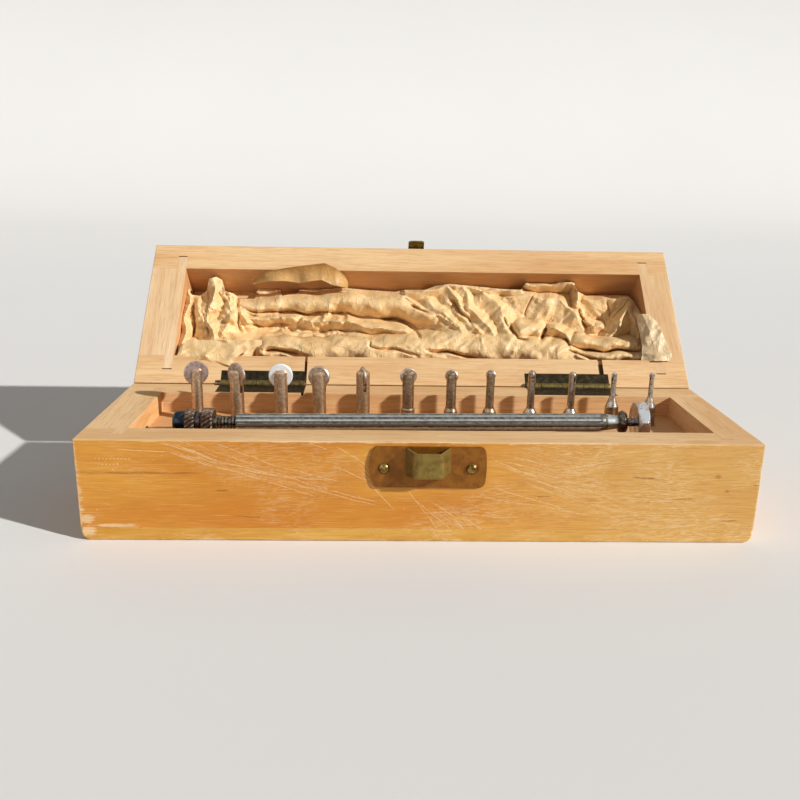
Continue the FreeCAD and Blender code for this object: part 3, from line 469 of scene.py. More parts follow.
        # Dark mineral streaks and small knots, each at its own place on the face
        wander = node("MapRange", (wander, 0.0, 1.0, -0.6, 0.6))
        wandered = node("Math", (z, wander), operation="ADD")
        share_left = node("MapRange", (fibres, 0.35, 0.55, 0.3, 1.0))
        for start, end, level, width in self.streaks:
            half = (end - start) / 2
            share = share_left
            for spot, middle, near, far, most in (
                    (x, (start + end) / 2, half * 0.5, half * 1.05, 1.0),
                    (wandered, level, 0.0, width, 0.75)):
                off = node("Math", (spot, middle), operation="SUBTRACT")
                off = node("Math", (off,), operation="ABSOLUTE")
                line = node("MapRange", (off, near, far, most, 0.0), **SMOOTH)
                share = node("Math", (share, line), operation="MULTIPLY")
            share = node("Math", (share, outer), operation="MULTIPLY")
            colour = node("Mix", {0: share, 6: colour, 7: linear("#8F521D")}, **COLOURS)
        for knot_x, knot_z, radius in self.knots:
            _, away = self.around(tree, place, (knot_x, 0, knot_z),
                                  (radius * 1.5, THROUGH, radius))
            share = node("MapRange", (away, 0.3, 1.0, 0.7, 0.0), **SMOOTH)
            colour = node("Mix", {0: share, 6: colour, 7: linear("#B06A24")}, **COLOURS)

        if self.scratch:
            share = self.scratches(tree, place, fields, wear)
            share = node("Math", (share, outer), operation="MULTIPLY")
            share = node("Math", (share, self.scratch), operation="MULTIPLY")
            colour = node("Mix", {0: share, 6: colour, 7: linear("#F5DDB0")}, **COLOURS)
        dirty = node("MapRange", (dirt, 0.56, 0.78, 0.0, 0.20), **SMOOTH)
        # Painted shade: faces within the walls' thickness that are neither outer faces nor
        # rims, inside the joints, mortises and kerfs, are darkened as if in shadow
        recess_shade = node("Math", (1.0, opened), operation="SUBTRACT")
        recess_shade = node("Math", (recess_shade, in_wall), operation="MULTIPLY")
        for share, tint in ((dirty, "#8C6136"), (recess_shade, "#5B3A20")):
            colour = node("Mix", {0: share, 6: colour, 7: linear(tint)}, **COLOURS)

        rough = node("MapRange", (covered, 0.0, 1.0, 0.72, 0.42))
        relief = node("Math", (fibres, pored), operation="SUBTRACT")
        bump = node("Bump", {"Strength": 0.35, "Distance": 0.00008, "Height": relief})
        self.connect(tree, shader, {
            "Base Color": colour, "Roughness": rough, "Normal": bump,
            "Specular IOR Level": 0.35})


@dataclass(frozen=True)
class Metal(Finish):
    """Old turned or pressed metal under a mottled patina.

    The patina grows in patches of about a millimetre, with specks of a quarter of that, and
    fine turning marks or scratches run one way.
    """

    clean: str = "#8C8478"
    patina: str = "#4E4237"
    speck: str = "#2E2620"
    coverage: float = 0.5
    patch: float = 1.2
    rough: tuple[float, float] = (0.28, 0.55)
    lines: tuple[float, float, float] = (0.0, 0.0, 9.0)
    line_depth: float = 0.25
    metallic: float = 1.0

    def fill(self, tree: bpy.types.NodeTree, shader: bpy.types.Node) -> None:
        """Fill the metal's tree: patina patches, specks and fine lines."""
        node = partial(add_node, tree)
        place = self.millimetres(tree)
        patches = node("TexNoise", {"Vector": place, "Scale": 1 / self.patch, "Detail": 6.0,
                                    "Roughness": 0.65, "Distortion": 0.3})
        specks = node("TexNoise", {"Vector": place, "Scale": 4 / self.patch, "Detail": 3.0,
                                   "Roughness": 0.6})
        middle = 0.72 - 0.44 * self.coverage
        cover = node("MapRange", (patches, middle - 0.13, middle + 0.13), **SMOOTH)
        speckled = node("MapRange", (specks, 0.60, 0.72, 0.0, 0.7), **SMOOTH)
        colour = node("Mix", {0: cover, 6: linear(self.clean), 7: linear(self.patina)},
                      **COLOURS)
        colour = node("Mix", {0: speckled, 6: colour, 7: linear(self.speck)}, **COLOURS)
        rough = node("MapRange", (patches, middle - 0.2, middle + 0.25, *self.rough))
        drawn = node("Mapping", {"Vector": place,
                                 "Scale": tuple(max(s, 0.25) for s in self.lines)})
        lines = node("TexNoise", {"Vector": drawn, "Scale": 1.0, "Detail": 2.0})
        height = node("Math", (lines, specks), operation="ADD")
        bump = node("Bump", {"Strength": self.line_depth, "Distance": 0.00005,
                             "Height": height})
        self.connect(tree, shader, {"Base Color": colour, "Metallic": self.metallic,
                                    "Roughness": rough, "Normal": bump})


@dataclass(frozen=True)
class WaxedPaper(Finish):
    """Thin kraft wrapping paper soaked with wax: mottled, a little shiny, with painted shade in
    its folds.

    The sheet carries a fold attribute: above a half on crests, which get a painted highlight,
    and below it in the valleys, which get painted shade.
    """

    lit: str = "#F4D19B"
    mottle: str = "#E0B578"
    valley_shade: str = "#AA6F3A"
    crest: str = "#F8E2B6"
    through: float = 0.0

    def fill(self, tree: bpy.types.NodeTree, shader: bpy.types.Node) -> None:
        """Fill the paper's tree: mottles of 3 mm, fibres, pale wax cracks, painted highlight on
        crests and painted shade in valleys.
        """
        node = partial(add_node, tree)
        place = self.millimetres(tree)
        mottles = node("TexNoise", {"Vector": place, "Scale": 0.3, "Detail": 5.0,
                                    "Roughness": 0.6})
        drawn = node("Mapping", {"Vector": place, "Rotation": (0.5, 0, 0.9),
                                 "Scale": (0.5, 3.0, 3.0)})
        fibres = node("TexNoise", {"Vector": drawn, "Scale": 1.0, "Detail": 3.0})
        cells = node("Mapping", {"Vector": place, "Scale": (0.45,) * 3})
        cracks = node("TexVoronoi", {"Vector": cells, "Scale": 1.0},
                      feature="DISTANCE_TO_EDGE")
        cracked = node("MapRange", (cracks, 0.0, 0.06, 1.0, 0.0), **SMOOTH)
        folds = node("Attribute", output=2, attribute_name=FOLD)
        colour = linear(self.lit)
        # Painted light: valleys of the fold attribute are darkened as painted shade and crests
        # lightened as a painted highlight; mottles and cracks are the paper's own
        for share, tint in (
                (node("MapRange", (mottles, 0.35, 0.68)), self.mottle),
                (node("MapRange", (folds, 0.46, 0.05, 0.0, 0.6)), self.valley_shade),
                (node("MapRange", (folds, 0.56, 0.95, 0.0, 0.55)), self.crest),
                (node("Math", (cracked, 0.16), operation="MULTIPLY"), self.crest)):
            colour = node("Mix", {0: share, 6: colour, 7: linear(tint)}, **COLOURS)
        relief = node("Math", (mottles, fibres), operation="ADD")
        relief = node("Math", (relief, cracked), operation="ADD")
        bump = node("Bump", {"Strength": 0.5, "Distance": 0.00018, "Height": relief})
        self.connect(tree, shader, {
            "Base Color": colour, "Roughness": 0.46, "Specular IOR Level": 0.45,
            "Transmission Weight": self.through, "Normal": bump})


@dataclass(frozen=True)
class Paint(Finish):
    """Matt studio paint with a breath of unevenness."""

    colour: str = "#E9E7E3"
    shade: str = "#E4E2DE"

    def fill(self, tree: bpy.types.NodeTree, shader: bpy.types.Node) -> None:
        """Fill the paint's tree."""
        where = add_node(tree, "TexCoord", output=OBJECT_PLACE)
        clouds = add_node(tree, "TexNoise", {"Vector": where, "Scale": 3.0, "Detail": 2.0})
        colour = add_node(tree, "Mix", {0: clouds, 6: linear(self.colour),
                                        7: linear(self.shade)}, **COLOURS)
        self.connect(tree, shader, {"Base Color": colour, "Roughness": 0.85})


def deselect() -> None:
    """Leave object mode with nothing selected."""
    if bpy.context.object and bpy.context.object.mode != "OBJECT":
        bpy.ops.object.mode_set(mode="OBJECT")
    bpy.ops.object.select_all(action="DESELECT")


def pick(piece: Piece) -> None:
    """Select one piece alone and make it active.

    Args:
        piece: the piece.
    """
    deselect()
    piece.select_set(True)
    bpy.context.view_layer.objects.active = piece


@contextmanager
def editing(piece: Piece) -> Iterator[None]:
    """Work on one piece in edit mode, and leave edit mode afterwards.

    Args:
        piece: the piece.
    """
    pick(piece)
    bpy.ops.object.mode_set(mode="EDIT")
    yield
    bpy.ops.object.mode_set(mode="OBJECT")


def select_where(piece: Piece, kind: str, test: Test) -> int:
    """Select the vertices, edges or faces of a piece in edit mode that pass a test.

    Args:
        piece: the piece, already in edit mode.
        kind: "VERT", "EDGE" or "FACE".
        test: takes the element and the mesh, and says whether it is wanted.

    Returns:
        How many are selected.
    """
    bpy.ops.mesh.select_mode(type=kind)
    bpy.ops.mesh.select_all(action="DESELECT")
    shape = bmesh.from_edit_mesh(piece.data)
    rows = {"VERT": shape.verts, "EDGE": shape.edges, "FACE": shape.faces}[kind]
    found = [row for row in rows if test(row, shape)]
    for row in found:
        row.select = True
    shape.select_flush_mode()
    bmesh.update_edit_mesh(piece.data)
    return len(found)


def use_modifier(piece: Piece, kind: str, **settings: Any) -> None:
    """Add a modifier and apply it.

    Args:
        piece: the piece.
        kind: the modifier's type.
        **settings: its properties.
    """
    pick(piece)
    modifier = piece.modifiers.new(kind.lower(), kind)
    for name, value in settings.items():
        setattr(modifier, name, value)
    bpy.ops.object.modifier_apply(modifier=modifier.name)


def soften(piece: Piece, width: float, segments: int = 2, angle: float = 50.0) -> None:
    """Round the sharp edges of a piece a little.

    Args:
        piece: the piece.
        width: width of the rounding.
        segments: faces across it.
        angle: edges sharper than this many degrees are rounded.
    """
    use_modifier(piece, "BEVEL", width=width * MM, segments=segments, limit_method="ANGLE",
                 angle_limit=math.radians(angle), use_clamp_overlap=True)


def bake_place(piece: Piece) -> None:
    """Put a piece's place into its mesh, so that its object sits at the origin.

    Args:
        piece: the piece.
    """
    pick(piece)
    bpy.ops.object.transform_apply(location=True, rotation=True, scale=True)


@dataclass
class Workshop:
    """What every sub-assembly needs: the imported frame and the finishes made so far."""

    frame: dict[str, Any]
    finishes: dict[str, bpy.types.Material] = field(default_factory=dict)

    def material(self, finish: Finish) -> bpy.types.Material:
        """Give the material of a finish, made once."""
        if finish.name not in self.finishes:
            self.finishes[finish.name] = finish.build()
        return self.finishes[finish.name]

    def copy_node(self, node: str, name: str) -> Piece:
        """Copy a CAD node's mesh into a new piece, merged and with its flat faces joined.

        Args:
            node: the CAD node.
            name: the new piece's name.

        Returns:
            The new piece.
        """
        piece = bpy.data.objects.new(name, self.frame["nodes"][node].data.copy())
        piece.data.materials.clear()
        bpy.context.scene.collection.objects.link(piece)
        pick(piece)
        bpy.ops.mesh.customdata_custom_splitnormals_clear()
        with editing(piece):
            bpy.ops.mesh.select_all(action="SELECT")
            bpy.ops.mesh.remove_doubles(threshold=2e-6)
            bpy.ops.mesh.dissolve_limited(angle_limit=math.radians(0.6))
        return piece

    def finish(self, piece: Piece, body: str, finish: Finish, slot: Slot,
               nodes: Sequence[str] = (), smooth: float = 35.0) -> Piece:
        """Give a piece its material, its shading, and the body that it rides on.

        Args:
            piece: the piece.
            body: the CAD body that it rides on.
            finish: its finish.
            slot: the record's material slot.
            nodes: the CAD nodes that it replaces.
            smooth: edges flatter than this many degrees are shaded smooth.

        Returns:
            The piece.
        """
        bake_place(piece)
        bpy.ops.object.shade_smooth_by_angle(angle=math.radians(smooth))
        if slot is not Slot.PAPER:
            use_modifier(piece, "WEIGHTED_NORMAL", keep_sharp=True)
        piece.data.materials.clear()
        piece.data.materials.append(self.material(finish))
        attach(piece, body)
        if nodes:
            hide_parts(*nodes)
        LOG.info("%s: %d faces, rides on %s", piece.name, len(piece.data.polygons), body)
        return piece

    def dress(self, node: str, ending: str, body: str, finish: Finish, slot: Slot,
              arris: float = 0.0, smooth: float = 35.0) -> Piece:
        """Copy a CAD node into a piece of its name and an ending, and finish it.

        Args:
            node: the CAD node.
            ending: the end of the piece's name.
            body: the CAD body that it rides on.
            finish: its finish.
            slot: the record's material slot.
            arris: width to which its sharp edges are rounded, or none.
            smooth: edges flatter than this many degrees are shaded smooth.

        Returns:
            The piece.
        """
        piece = self.copy_node(node, f"{node}_{ending}")
        if arris:
            soften(piece, arris)
        return self.finish(piece, body, finish, slot, [node], smooth)

    def paint_faces(self, piece: Piece, finish: Finish, test: Test) -> None:
        """Give some faces of a piece a second finish.

        Args:
            piece: the piece.
            finish: the second finish.
            test: takes the face and the mesh, and says whether it gets the finish.
        """
        piece.data.materials.append(self.material(finish))
        with editing(piece):
            select_where(piece, "FACE", test)
            piece.active_material_index = 1
            bpy.ops.object.material_slot_assign()


@dataclass
class BoxWood:
    """The glued walls and boards of base and lid, and the drilled block of the tray."""

    shop: Workshop
    arris: float = 0.24
    joint_edge: float = 0.035
    block_edge: float = 0.10

    def finishes(self) -> dict[str, Wood]:
        """Give each wooden node its own finish."""
        streaks = (
            (-90.0, -44.0, 16.1, 0.42), (-45.2, -42.0, 12.0, 0.28), (-42.2, -34.2, 5.9, 0.32),
            (45.8, 52.0, 15.7, 0.34), (56.0, 60.6, 10.6, 0.24), (66.3, 71.2, 5.6, 0.24),
            (73.4, 76.0, 13.9, 0.24), (24.9, 28.8, 10.9, 0.26))
        cuts = (
            ((-66.3, 21.3), (-54.6, 21.0)), ((-49.6, 19.9), (-36.5, 17.0)),
            ((-55.0, 21.1), (-45.3, 17.8), (-34.4, 14.4), (-23.4, 10.9)),
            ((-56.5, 23.0), (-43.1, 18.7), (-30.5, 15.3), (-20.0, 14.9)),
            ((-45.1, 23.1), (-30.5, 17.4), (-18.3, 14.7)),
            ((-32.2, 16.2), (-20.0, 12.4), (-9.9, 9.7)), ((-28.9, 14.1), (-9.9, 8.8)),
            ((-24.6, 23.3), (-20.8, 21.8)), ((-19.7, 18.3), (-12.2, 14.8), (-6.0, 7.6)),
            ((-18.9, 22.6), (-12.2, 18.4)), ((-3.1, 12.5), (1.4, 6.5), (5.8, 0.2)),
            ((-1.2, 10.1), (8.4, 1.6)), ((2.3, 7.2), (19.1, 5.7)), ((6.9, 5.8), (13.6, 0.2)),
            ((8.8, 5.8), (18.8, 0.9)), ((15.4, 13.4), (33.0, 7.7)),
            ((15.0, 10.5), (25.3, 9.1), (37.4, 6.6)), ((15.2, 19.6), (25.5, 15.7)),
            ((19.9, 20.2), (28.0, 18.4)))
        scuffs = (
            (-44.0, 19.2, 15.0, 4.0, -20.0), (-30.0, 15.2, 15.0, 2.6, -12.0),
            (-38.0, 15.2, 6.0, 1.2, 6.0), (-11.0, 15.6, 5.0, 4.0, -48.0),
            (28.0, 17.0, 15.0, 6.0, -14.0), (34.0, 12.0, 17.0, 4.5, -20.0),
            (42.0, 19.5, 18.0, 3.6, 8.0), (10.0, 4.0, 12.0, 3.6, -38.0),
            (-8.0, 2.6, 9.0, 1.2, 0.0), (5.0, 13.2, 5.0, 0.7, 0.0),
            (63.0, 10.6, 4.0, 1.0, 14.0))
        front = Wood("varnished_beech_front", streaks=streaks, cuts=cuts, scuffs=scuffs,
                     knots=((65.4, 16.0, 0.7), (67.8, 12.6, 0.5)), scratch=0.55, right_light=0.9,
                     bald=((-73.6, 4.8, 2.5, 1.8), (-67.0, 3.6, 6.5, 0.5),
                           (-75.2, 12.0, 1.5, 15.0), (75.2, 6.0, 0.9, 9.0)),
                     drips=((61.6, -21.7, 4.4, 1.2),),
                     dotted=((-70.4, -63.0, 19.2), (-69.8, -65.3, 17.9)))
        back = Wood("varnished_beech_back", offset=170.0, scratch=0.45)
        sides = Wood("varnished_beech_sides", grain=Grain.ACROSS, offset=60.0, scratch=0.45)
        bottom = Wood("varnished_beech_bottom", offset=310.0, varnish="#CC9030",
                      varnish_pale="#DCAC54", varnish_lit_right="#DCB066", right_light=0.6, scratch=0.6,
                      bald=((-73.6, 2.4, 2.6, 1.8), (-65.0, 3.4, 8.0, 0.4)))
        # Painted shade: the lid's inside faces get a darker inside colour, as they lie in shade
        lid_wall = partial(Wood, part=Part.LID, scratch=0.45, inside="#D9A776",
                           inside_deep="#BF8B58")
        lid_long = lid_wall("varnished_beech_lid_long", offset=430.0, bare_deep="#DEB27E")
        lid_left = lid_wall("varnished_beech_lid_left", grain=Grain.ACROSS, offset=560.0,
                            bare="#F4D6AC", bare_deep="#E9C699")
        lid_sides = lid_wall("varnished_beech_lid_sides", grain=Grain.ACROSS, offset=520.0,
                             bare="#E8C698", bare_deep="#DAB283")
        top = Wood("varnished_beech_top", part=Part.LID, offset=610.0, scratch=0.45)
        # Painted shade: the block's faces, the tray's floor, get a darker inside colour, as
        # they lie in shade
        block = Wood("bare_beech_block", offset=740.0, inside="#D9A877")
        return {
            "base_front_wall": front, "base_back_wall": back,
            "base_left_wall": sides, "base_right_wall": sides,
            "bottom_board": bottom, "tool_block": block,
            "lid_front_wall": lid_long, "lid_back_wall": lid_long, "lid_left_wall": lid_left,
            "lid_right_wall": lid_sides, "top_board": top,
        }

    def outer_faces(self, spot: Vector, in_lid: bool) -> int:
        """Count the outer faces and rims of the closed box on which a place lies."""
        if in_lid:
            turned = Matrix.Rotation(LID_ANGLE, 3, "X") @ (spot / MM - HINGE_LINE)
            closed = Vector((turned.x, turned.y + HINGE_LINE.y,
                             LID_RIM + LID_HEIGHT - turned.z))
        else:
            closed = spot / MM
        height = LID_HEIGHT if in_lid else BASE_HEIGHT
        gaps = (HALF_LENGTH - abs(closed.x), HALF_DEPTH - abs(closed.y), closed.z,
                height - closed.z)
        return sum(abs(gap) < 0.02 for gap in gaps)

    def build(self) -> None:
        """Make every wooden piece from its node; the box's outer arrises are worn round."""
        for node, finish in self.finishes().items():
            piece = self.shop.copy_node(node, f"{node}_wood")
            in_lid = finish.part is Part.LID
            with editing(piece):
                if select_where(piece, "EDGE", lambda edge, _: (
                        self.outer_faces((edge.verts[0].co + edge.verts[1].co) / 2, in_lid) > 1
                        and edge.calc_length() > 0.5 * MM)):
                    bpy.ops.mesh.bevel(offset=self.arris * MM, segments=3, affect="EDGES",
                                       clamp_overlap=True)
            soften(piece, self.block_edge if node == "tool_block" else self.joint_edge)
            slot = Slot.BLOCK if node == "tool_block" else Slot.VARNISHED
            self.shop.finish(piece, "lid" if in_lid else "base", finish, slot, [node])


@dataclass
class Hinges:
    """Two brass butt hinges with rolled knuckles, steel pins and nails filed flush."""

    shop: Workshop
    knuckle_reach: float = 1.35

    def build(self) -> None:
        """Make the leaves, pins and nails."""
        leaf = Metal("tarnished_hinge_brass", clean="#453D2C", patina="#2C261B",
                     speck="#1C160D", coverage=0.6, patch=1.3, rough=(0.46, 0.62),
                     lines=(0.4, 5.0, 5.0))
        knuckle = Metal("worn_knuckle_brass", clean="#7A6A42", patina="#574A2C",
                        speck="#322812", coverage=0.45, patch=1.0, rough=(0.40, 0.54))
        pin = Metal("old_pin_steel", clean="#A39B88", patina="#6C614D", rough=(0.3, 0.6))
        nails = Metal("nail_brass", clean="#4E4531", patina="#332C1E", rough=(0.3, 0.5))
        for side in ("left", "right"):
            for body in ("base", "lid"):
                piece = self.shop.dress(f"{side}_hinge_{body}_leaf", "brass", body, leaf,
                                        Slot.HINGE, arris=0.1)
                self.shop.paint_faces(piece, knuckle, self.rolled)
            self.shop.dress(f"{side}_hinge_pin", "steel", "base", pin, Slot.HINGE, arris=0.12)
        for body in ("base", "lid"):
            self.shop.dress(f"{body}_leaf_nails", "filed", body, nails, Slot.HINGE)

    def rolled(self, face: Any, _: bmesh.types.BMesh) -> bool:
        """Say whether a face of a leaf belongs to its knuckles, which are worn by use."""
        return all((v.co / MM - HINGE_LINE).yz.length < self.knuckle_reach for v in face.verts)


@dataclass
class Catch:
    """Pressed brass catch: a plate with a pocket on the base, a spring tongue on the lid."""

    shop: Workshop
    plate_face: float = -23.6
    mouth: float = 21.85

    def build(self) -> None:
        """Make both plates and their domed nails."""
        brass = Metal("tarnished_catch_brass", clean="#945D17", patina="#7C490C",
                      speck="#5C3A14", coverage=0.5, patch=2.2, rough=(0.42, 0.54),
                      lines=(0.3, 4.0, 4.0), metallic=0.5)
        rubbed = Metal("rubbed_catch_brass", clean="#8C7436", patina="#6E5524",
                       speck="#6E5528", coverage=0.4, patch=1.8, rough=(0.42, 0.52),
                       lines=(3.0, 3.0, 0.3), metallic=0.6)
        olive = Metal("olive_tongue_brass", clean="#877A45", patina="#63542B", speck="#40351B",
                      coverage=0.5, patch=1.2, rough=(0.34, 0.5))
        dome = Metal("catch_nail_brass", clean="#A08049", patina="#54401F", speck="#2E2212",
                     coverage=0.5, patch=0.7, rough=(0.2, 0.4))
        plate = self.shop.copy_node("catch_plate", "catch_plate_pressed")
        outside = (self.plate_face - 0.02) * MM
        with editing(plate):
            # The pocket's outer edges, apart from those of its mouth
            select_where(plate, "EDGE", lambda edge, _: (
                min(v.co.y for v in edge.verts) < outside - 3.3 * MM
                and edge.calc_length() > 1.5 * MM and edge.calc_face_angle(0) > math.radians(30)
                and not all(v.co.z > self.mouth * MM for v in edge.verts)))
            bpy.ops.mesh.bevel(offset=0.9 * MM, segments=5, affect="EDGES", clamp_overlap=True)
            # The line where the pocket leaves the plate
            select_where(plate, "EDGE", lambda edge, _: all(
                abs(v.co.y - self.plate_face * MM) < 0.02 * MM
                and 4.8 < max(abs(v.co.x / MM - 1.2), 20.7 - v.co.z / MM) < 5.3
                for v in edge.verts))
            bpy.ops.mesh.bevel(offset=0.8 * MM, segments=4, affect="EDGES", clamp_overlap=True)
        soften(plate, 0.1)
        self.shop.finish(plate, "base", brass, Slot.CATCH, ["catch_plate"])
        self.shop.paint_faces(plate, rubbed, lambda face, _: (
            min(v.co.y for v in face.verts) < outside - 0.3 * MM))
        self.shop.dress("tongue_plate", "pressed", "lid", olive, Slot.CATCH, arris=0.1)
        for part, body in (("catch", "base"), ("tongue", "lid")):
            self.shop.dress(f"{part}_nails", "domed", body, dome, Slot.CATCH, smooth=50)


@dataclass
class Holder:
    """The fluted steel holder: chuck with two knurled nuts, grip, ring and swivelling head."""

    shop: Workshop
    nose: Vector = Vector((-57.5, -5.339, 21.881))
    skew: float = math.radians(1.46)
    tilt: float = math.asin(1.7922 / 101.2)
    bore: float = 1.76
    stud: float = 1.58
    grip_end: float = 101.6
    flute_reach: float = 2.07

    def turn_up(self, name: str, stations: Sequence[tuple[float, float]], sides: int,
                teeth: float = 0.0, lean: float = 0.0) -> Piece:
        """Turn a bored piece round X by extruding a ring, and lay it on the block.

        Args:
            name: the piece's name.
            stations: place along X from the nose and radius of each ring; the last ring joins
                the first.
            sides: vertices in a ring.
            teeth: how deep two vertices of three are cut, as a share of the radius.
            lean: turn of the teeth from the first to the last outer ring, in degrees.

        Returns:
            The piece.
        """
        deselect()
        first_x, first_r = stations[0]
        bpy.ops.mesh.primitive_circle_add(
            vertices=sides, radius=first_r * MM, location=(first_x * MM, 0, 0),
            rotation=(0, math.pi / 2, 0))
        piece = bpy.context.object
        piece.name = name
        bake_place(piece)
        width = max(x for x, _ in stations) - first_x
        with editing(piece):
            if teeth:
                select_where(piece, "VERT", lambda v, _: v.index % 3 > 0)
                bpy.ops.transform.resize(value=(1, 1 - teeth, 1 - teeth),
                                         center_override=(first_x * MM, 0, 0))
            bpy.ops.mesh.select_mode(type="VERT")
            bpy.ops.mesh.select_all(action="SELECT")
            for (before_x, before_r), (x, radius) in zip(stations[:-1], stations[1:]):
                bpy.ops.mesh.extrude_region_move(
                    TRANSFORM_OT_translate={"value": ((x - before_x) * MM, 0, 0)})
                scale, middle = radius / before_r, (x * MM, 0, 0)
                bpy.ops.transform.resize(value=(1, scale, scale), center_override=middle)
                if lean and x > before_x:
                    bpy.ops.transform.rotate(value=math.radians(lean) * (x - before_x) / width,
                                             orient_axis="X", center_override=middle)
            select_where(piece, "EDGE", lambda edge, _: edge.is_boundary)
            bpy.ops.mesh.bridge_edge_loops()
            bpy.ops.mesh.select_all(action="SELECT")
            bpy.ops.mesh.normals_make_consistent(inside=False)
        turn = Matrix.Rotation(-self.skew, 4, "Z") @ Matrix.Rotation(-self.tilt, 4, "Y")
        piece.matrix_world = Matrix.Translation(self.nose * MM) @ turn
        return piece

    def fluted(self, face: Any, _: bmesh.types.BMesh) -> bool:
        """Say whether a face of the grip lies in a flute, where old oil and a painted shade
        keep it dark.
        """
        turn = Matrix.Rotation(-self.skew, 3, "Z") @ Matrix.Rotation(-self.tilt, 3, "Y")
        spots = [turn.inverted() @ (v.co / MM - self.nose) for v in face.verts]
        return (max(spot.x for spot in spots) < self.grip_end
                and min(spot.yz.length for spot in spots) < self.flute_reach)

    def knurl(self, name: str, start: float, end: float, radius: float, bore: float,
              sides: int) -> Piece:
        """Make a knurled ring with leaning teeth and chamfered ends; sides counts its teeth."""
        steps = [start + 0.35 + (end - start - 0.7) * i / 4 for i in range(5)]
        stations = [(start, radius - 0.38), *[(x, radius) for x in steps],
                    (end, radius - 0.38), (end, bore), (start, bore)]
        return self.turn_up(name, stations, 3 * sides, teeth=0.08, lean=26.0)

    def build(self) -> None:
        """Make the holder's pieces."""
        blued = Metal("blued_steel_cap", clean="#3D4652", patina="#1E242C", speck="#14161A",
                      coverage=0.6, rough=(0.16, 0.36))
        knurled = Metal("browned_knurled_steel", clean="#807060", patina="#4E3D30",
                        speck="#2E231C", coverage=0.5, patch=0.7, rough=(0.34, 0.5))
        purple = Metal("purpled_steel_collar", clean="#5C5258", patina="#332D33",
                       coverage=0.5, rough=(0.2, 0.4))
        thread = Metal("oily_threaded_steel", clean="#8A837A", patina="#443C36", coverage=0.5,
                       patch=0.7, rough=(0.2, 0.36))
        bright = Metal("fluted_grip_steel", clean="#B9BCBA", patina="#9B9A95",
                       speck="#5E5850", coverage=0.4, patch=1.6, rough=(0.28, 0.42),
                       lines=(0.3, 3.0, 3.0), line_depth=0.15)
        oil_and_shade = Metal("oily_shaded_flute_steel", clean="#8A887E", patina="#605A51", speck="#2C2822",
                     coverage=0.5, patch=1.2, rough=(0.36, 0.5), lines=(0.3, 3.0, 3.0))
        ring = Metal("browned_ring_steel", clean="#786A5C", patina="#372D27", coverage=0.5,
                     rough=(0.14, 0.32))
        head = Metal("ground_head_steel", clean="#CFD2D6", patina="#AC9B88",
                     speck="#443A31", coverage=0.38, patch=1.6, rough=(0.24, 0.42))

        nose = self.turn_up("nose_cap_blued", [
            (0.25, 1.9), (0.0, 2.05), (0.05, 2.25), (0.3, 2.52), (0.75, 2.74), (1.2, 2.8),
            (2.45, 2.8), (2.62, 2.7), (2.7, 2.5), (2.7, self.bore), (0.25, self.bore)], 48)
        self.shop.finish(nose, "chuck", blued, Slot.BLUED, ["nose_cap"])
        clamp = self.knurl("clamp_nut_knurled", 2.72, 5.1, 3.2, self.bore, 21)
        self.shop.finish(clamp, "chuck", knurled, Slot.BROWNED, ["clamp_nut"], smooth=20)
        collar = self.turn_up("clamp_nut_collar", [
            (5.0, 2.3), (5.15, 2.4), (6.35, 2.4), (6.6, 2.2), (6.65, 2.0), (6.65, self.stud),
            (5.0, self.stud)], 48)
        self.shop.finish(collar, "chuck", purple, Slot.BLUED)
        lock = self.knurl("lock_nut_knurled", 6.7, 9.4, 3.45, self.stud, 22)
        self.shop.finish(lock, "lock_ring", knurled, Slot.BROWNED, ["lock_nut"], smooth=20)

        self.shop.dress("chuck_stud", "threaded", "holder_grip", thread, Slot.DARK, smooth=25)
        grip = self.shop.dress("grip", "fluted", "holder_grip", bright, Slot.BRIGHT, smooth=24)
        # Painted shade: the flutes' faces get a darker finish, for old oil and the shade in the
        # grooves
        self.shop.paint_faces(grip, oil_and_shade, self.fluted)
        bead = self.turn_up("end_ring_domed", [
            (104.1, 2.0), (104.16, 2.2), (104.4, 2.5), (104.75, 2.69), (105.05, 2.75),
            (105.35, 2.69), (105.7, 2.5), (105.94, 2.2), (106.0, 2.0), (106.0, 1.04),
            (104.1, 1.04)], 56)
        self.shop.finish(bead, "holder_grip", ring, Slot.DARK, ["end_ring"])
        self.shop.dress("swivel_stem", "turned", "swivel", thread, Slot.DARK)
        hexagon = self.shop.copy_node("swivel_head", "swivel_head_ground")
        soften(hexagon, 0.16, segments=3, angle=25)
        self.shop.finish(hexagon, "swivel", head, Slot.DARK, ["swivel_head"])


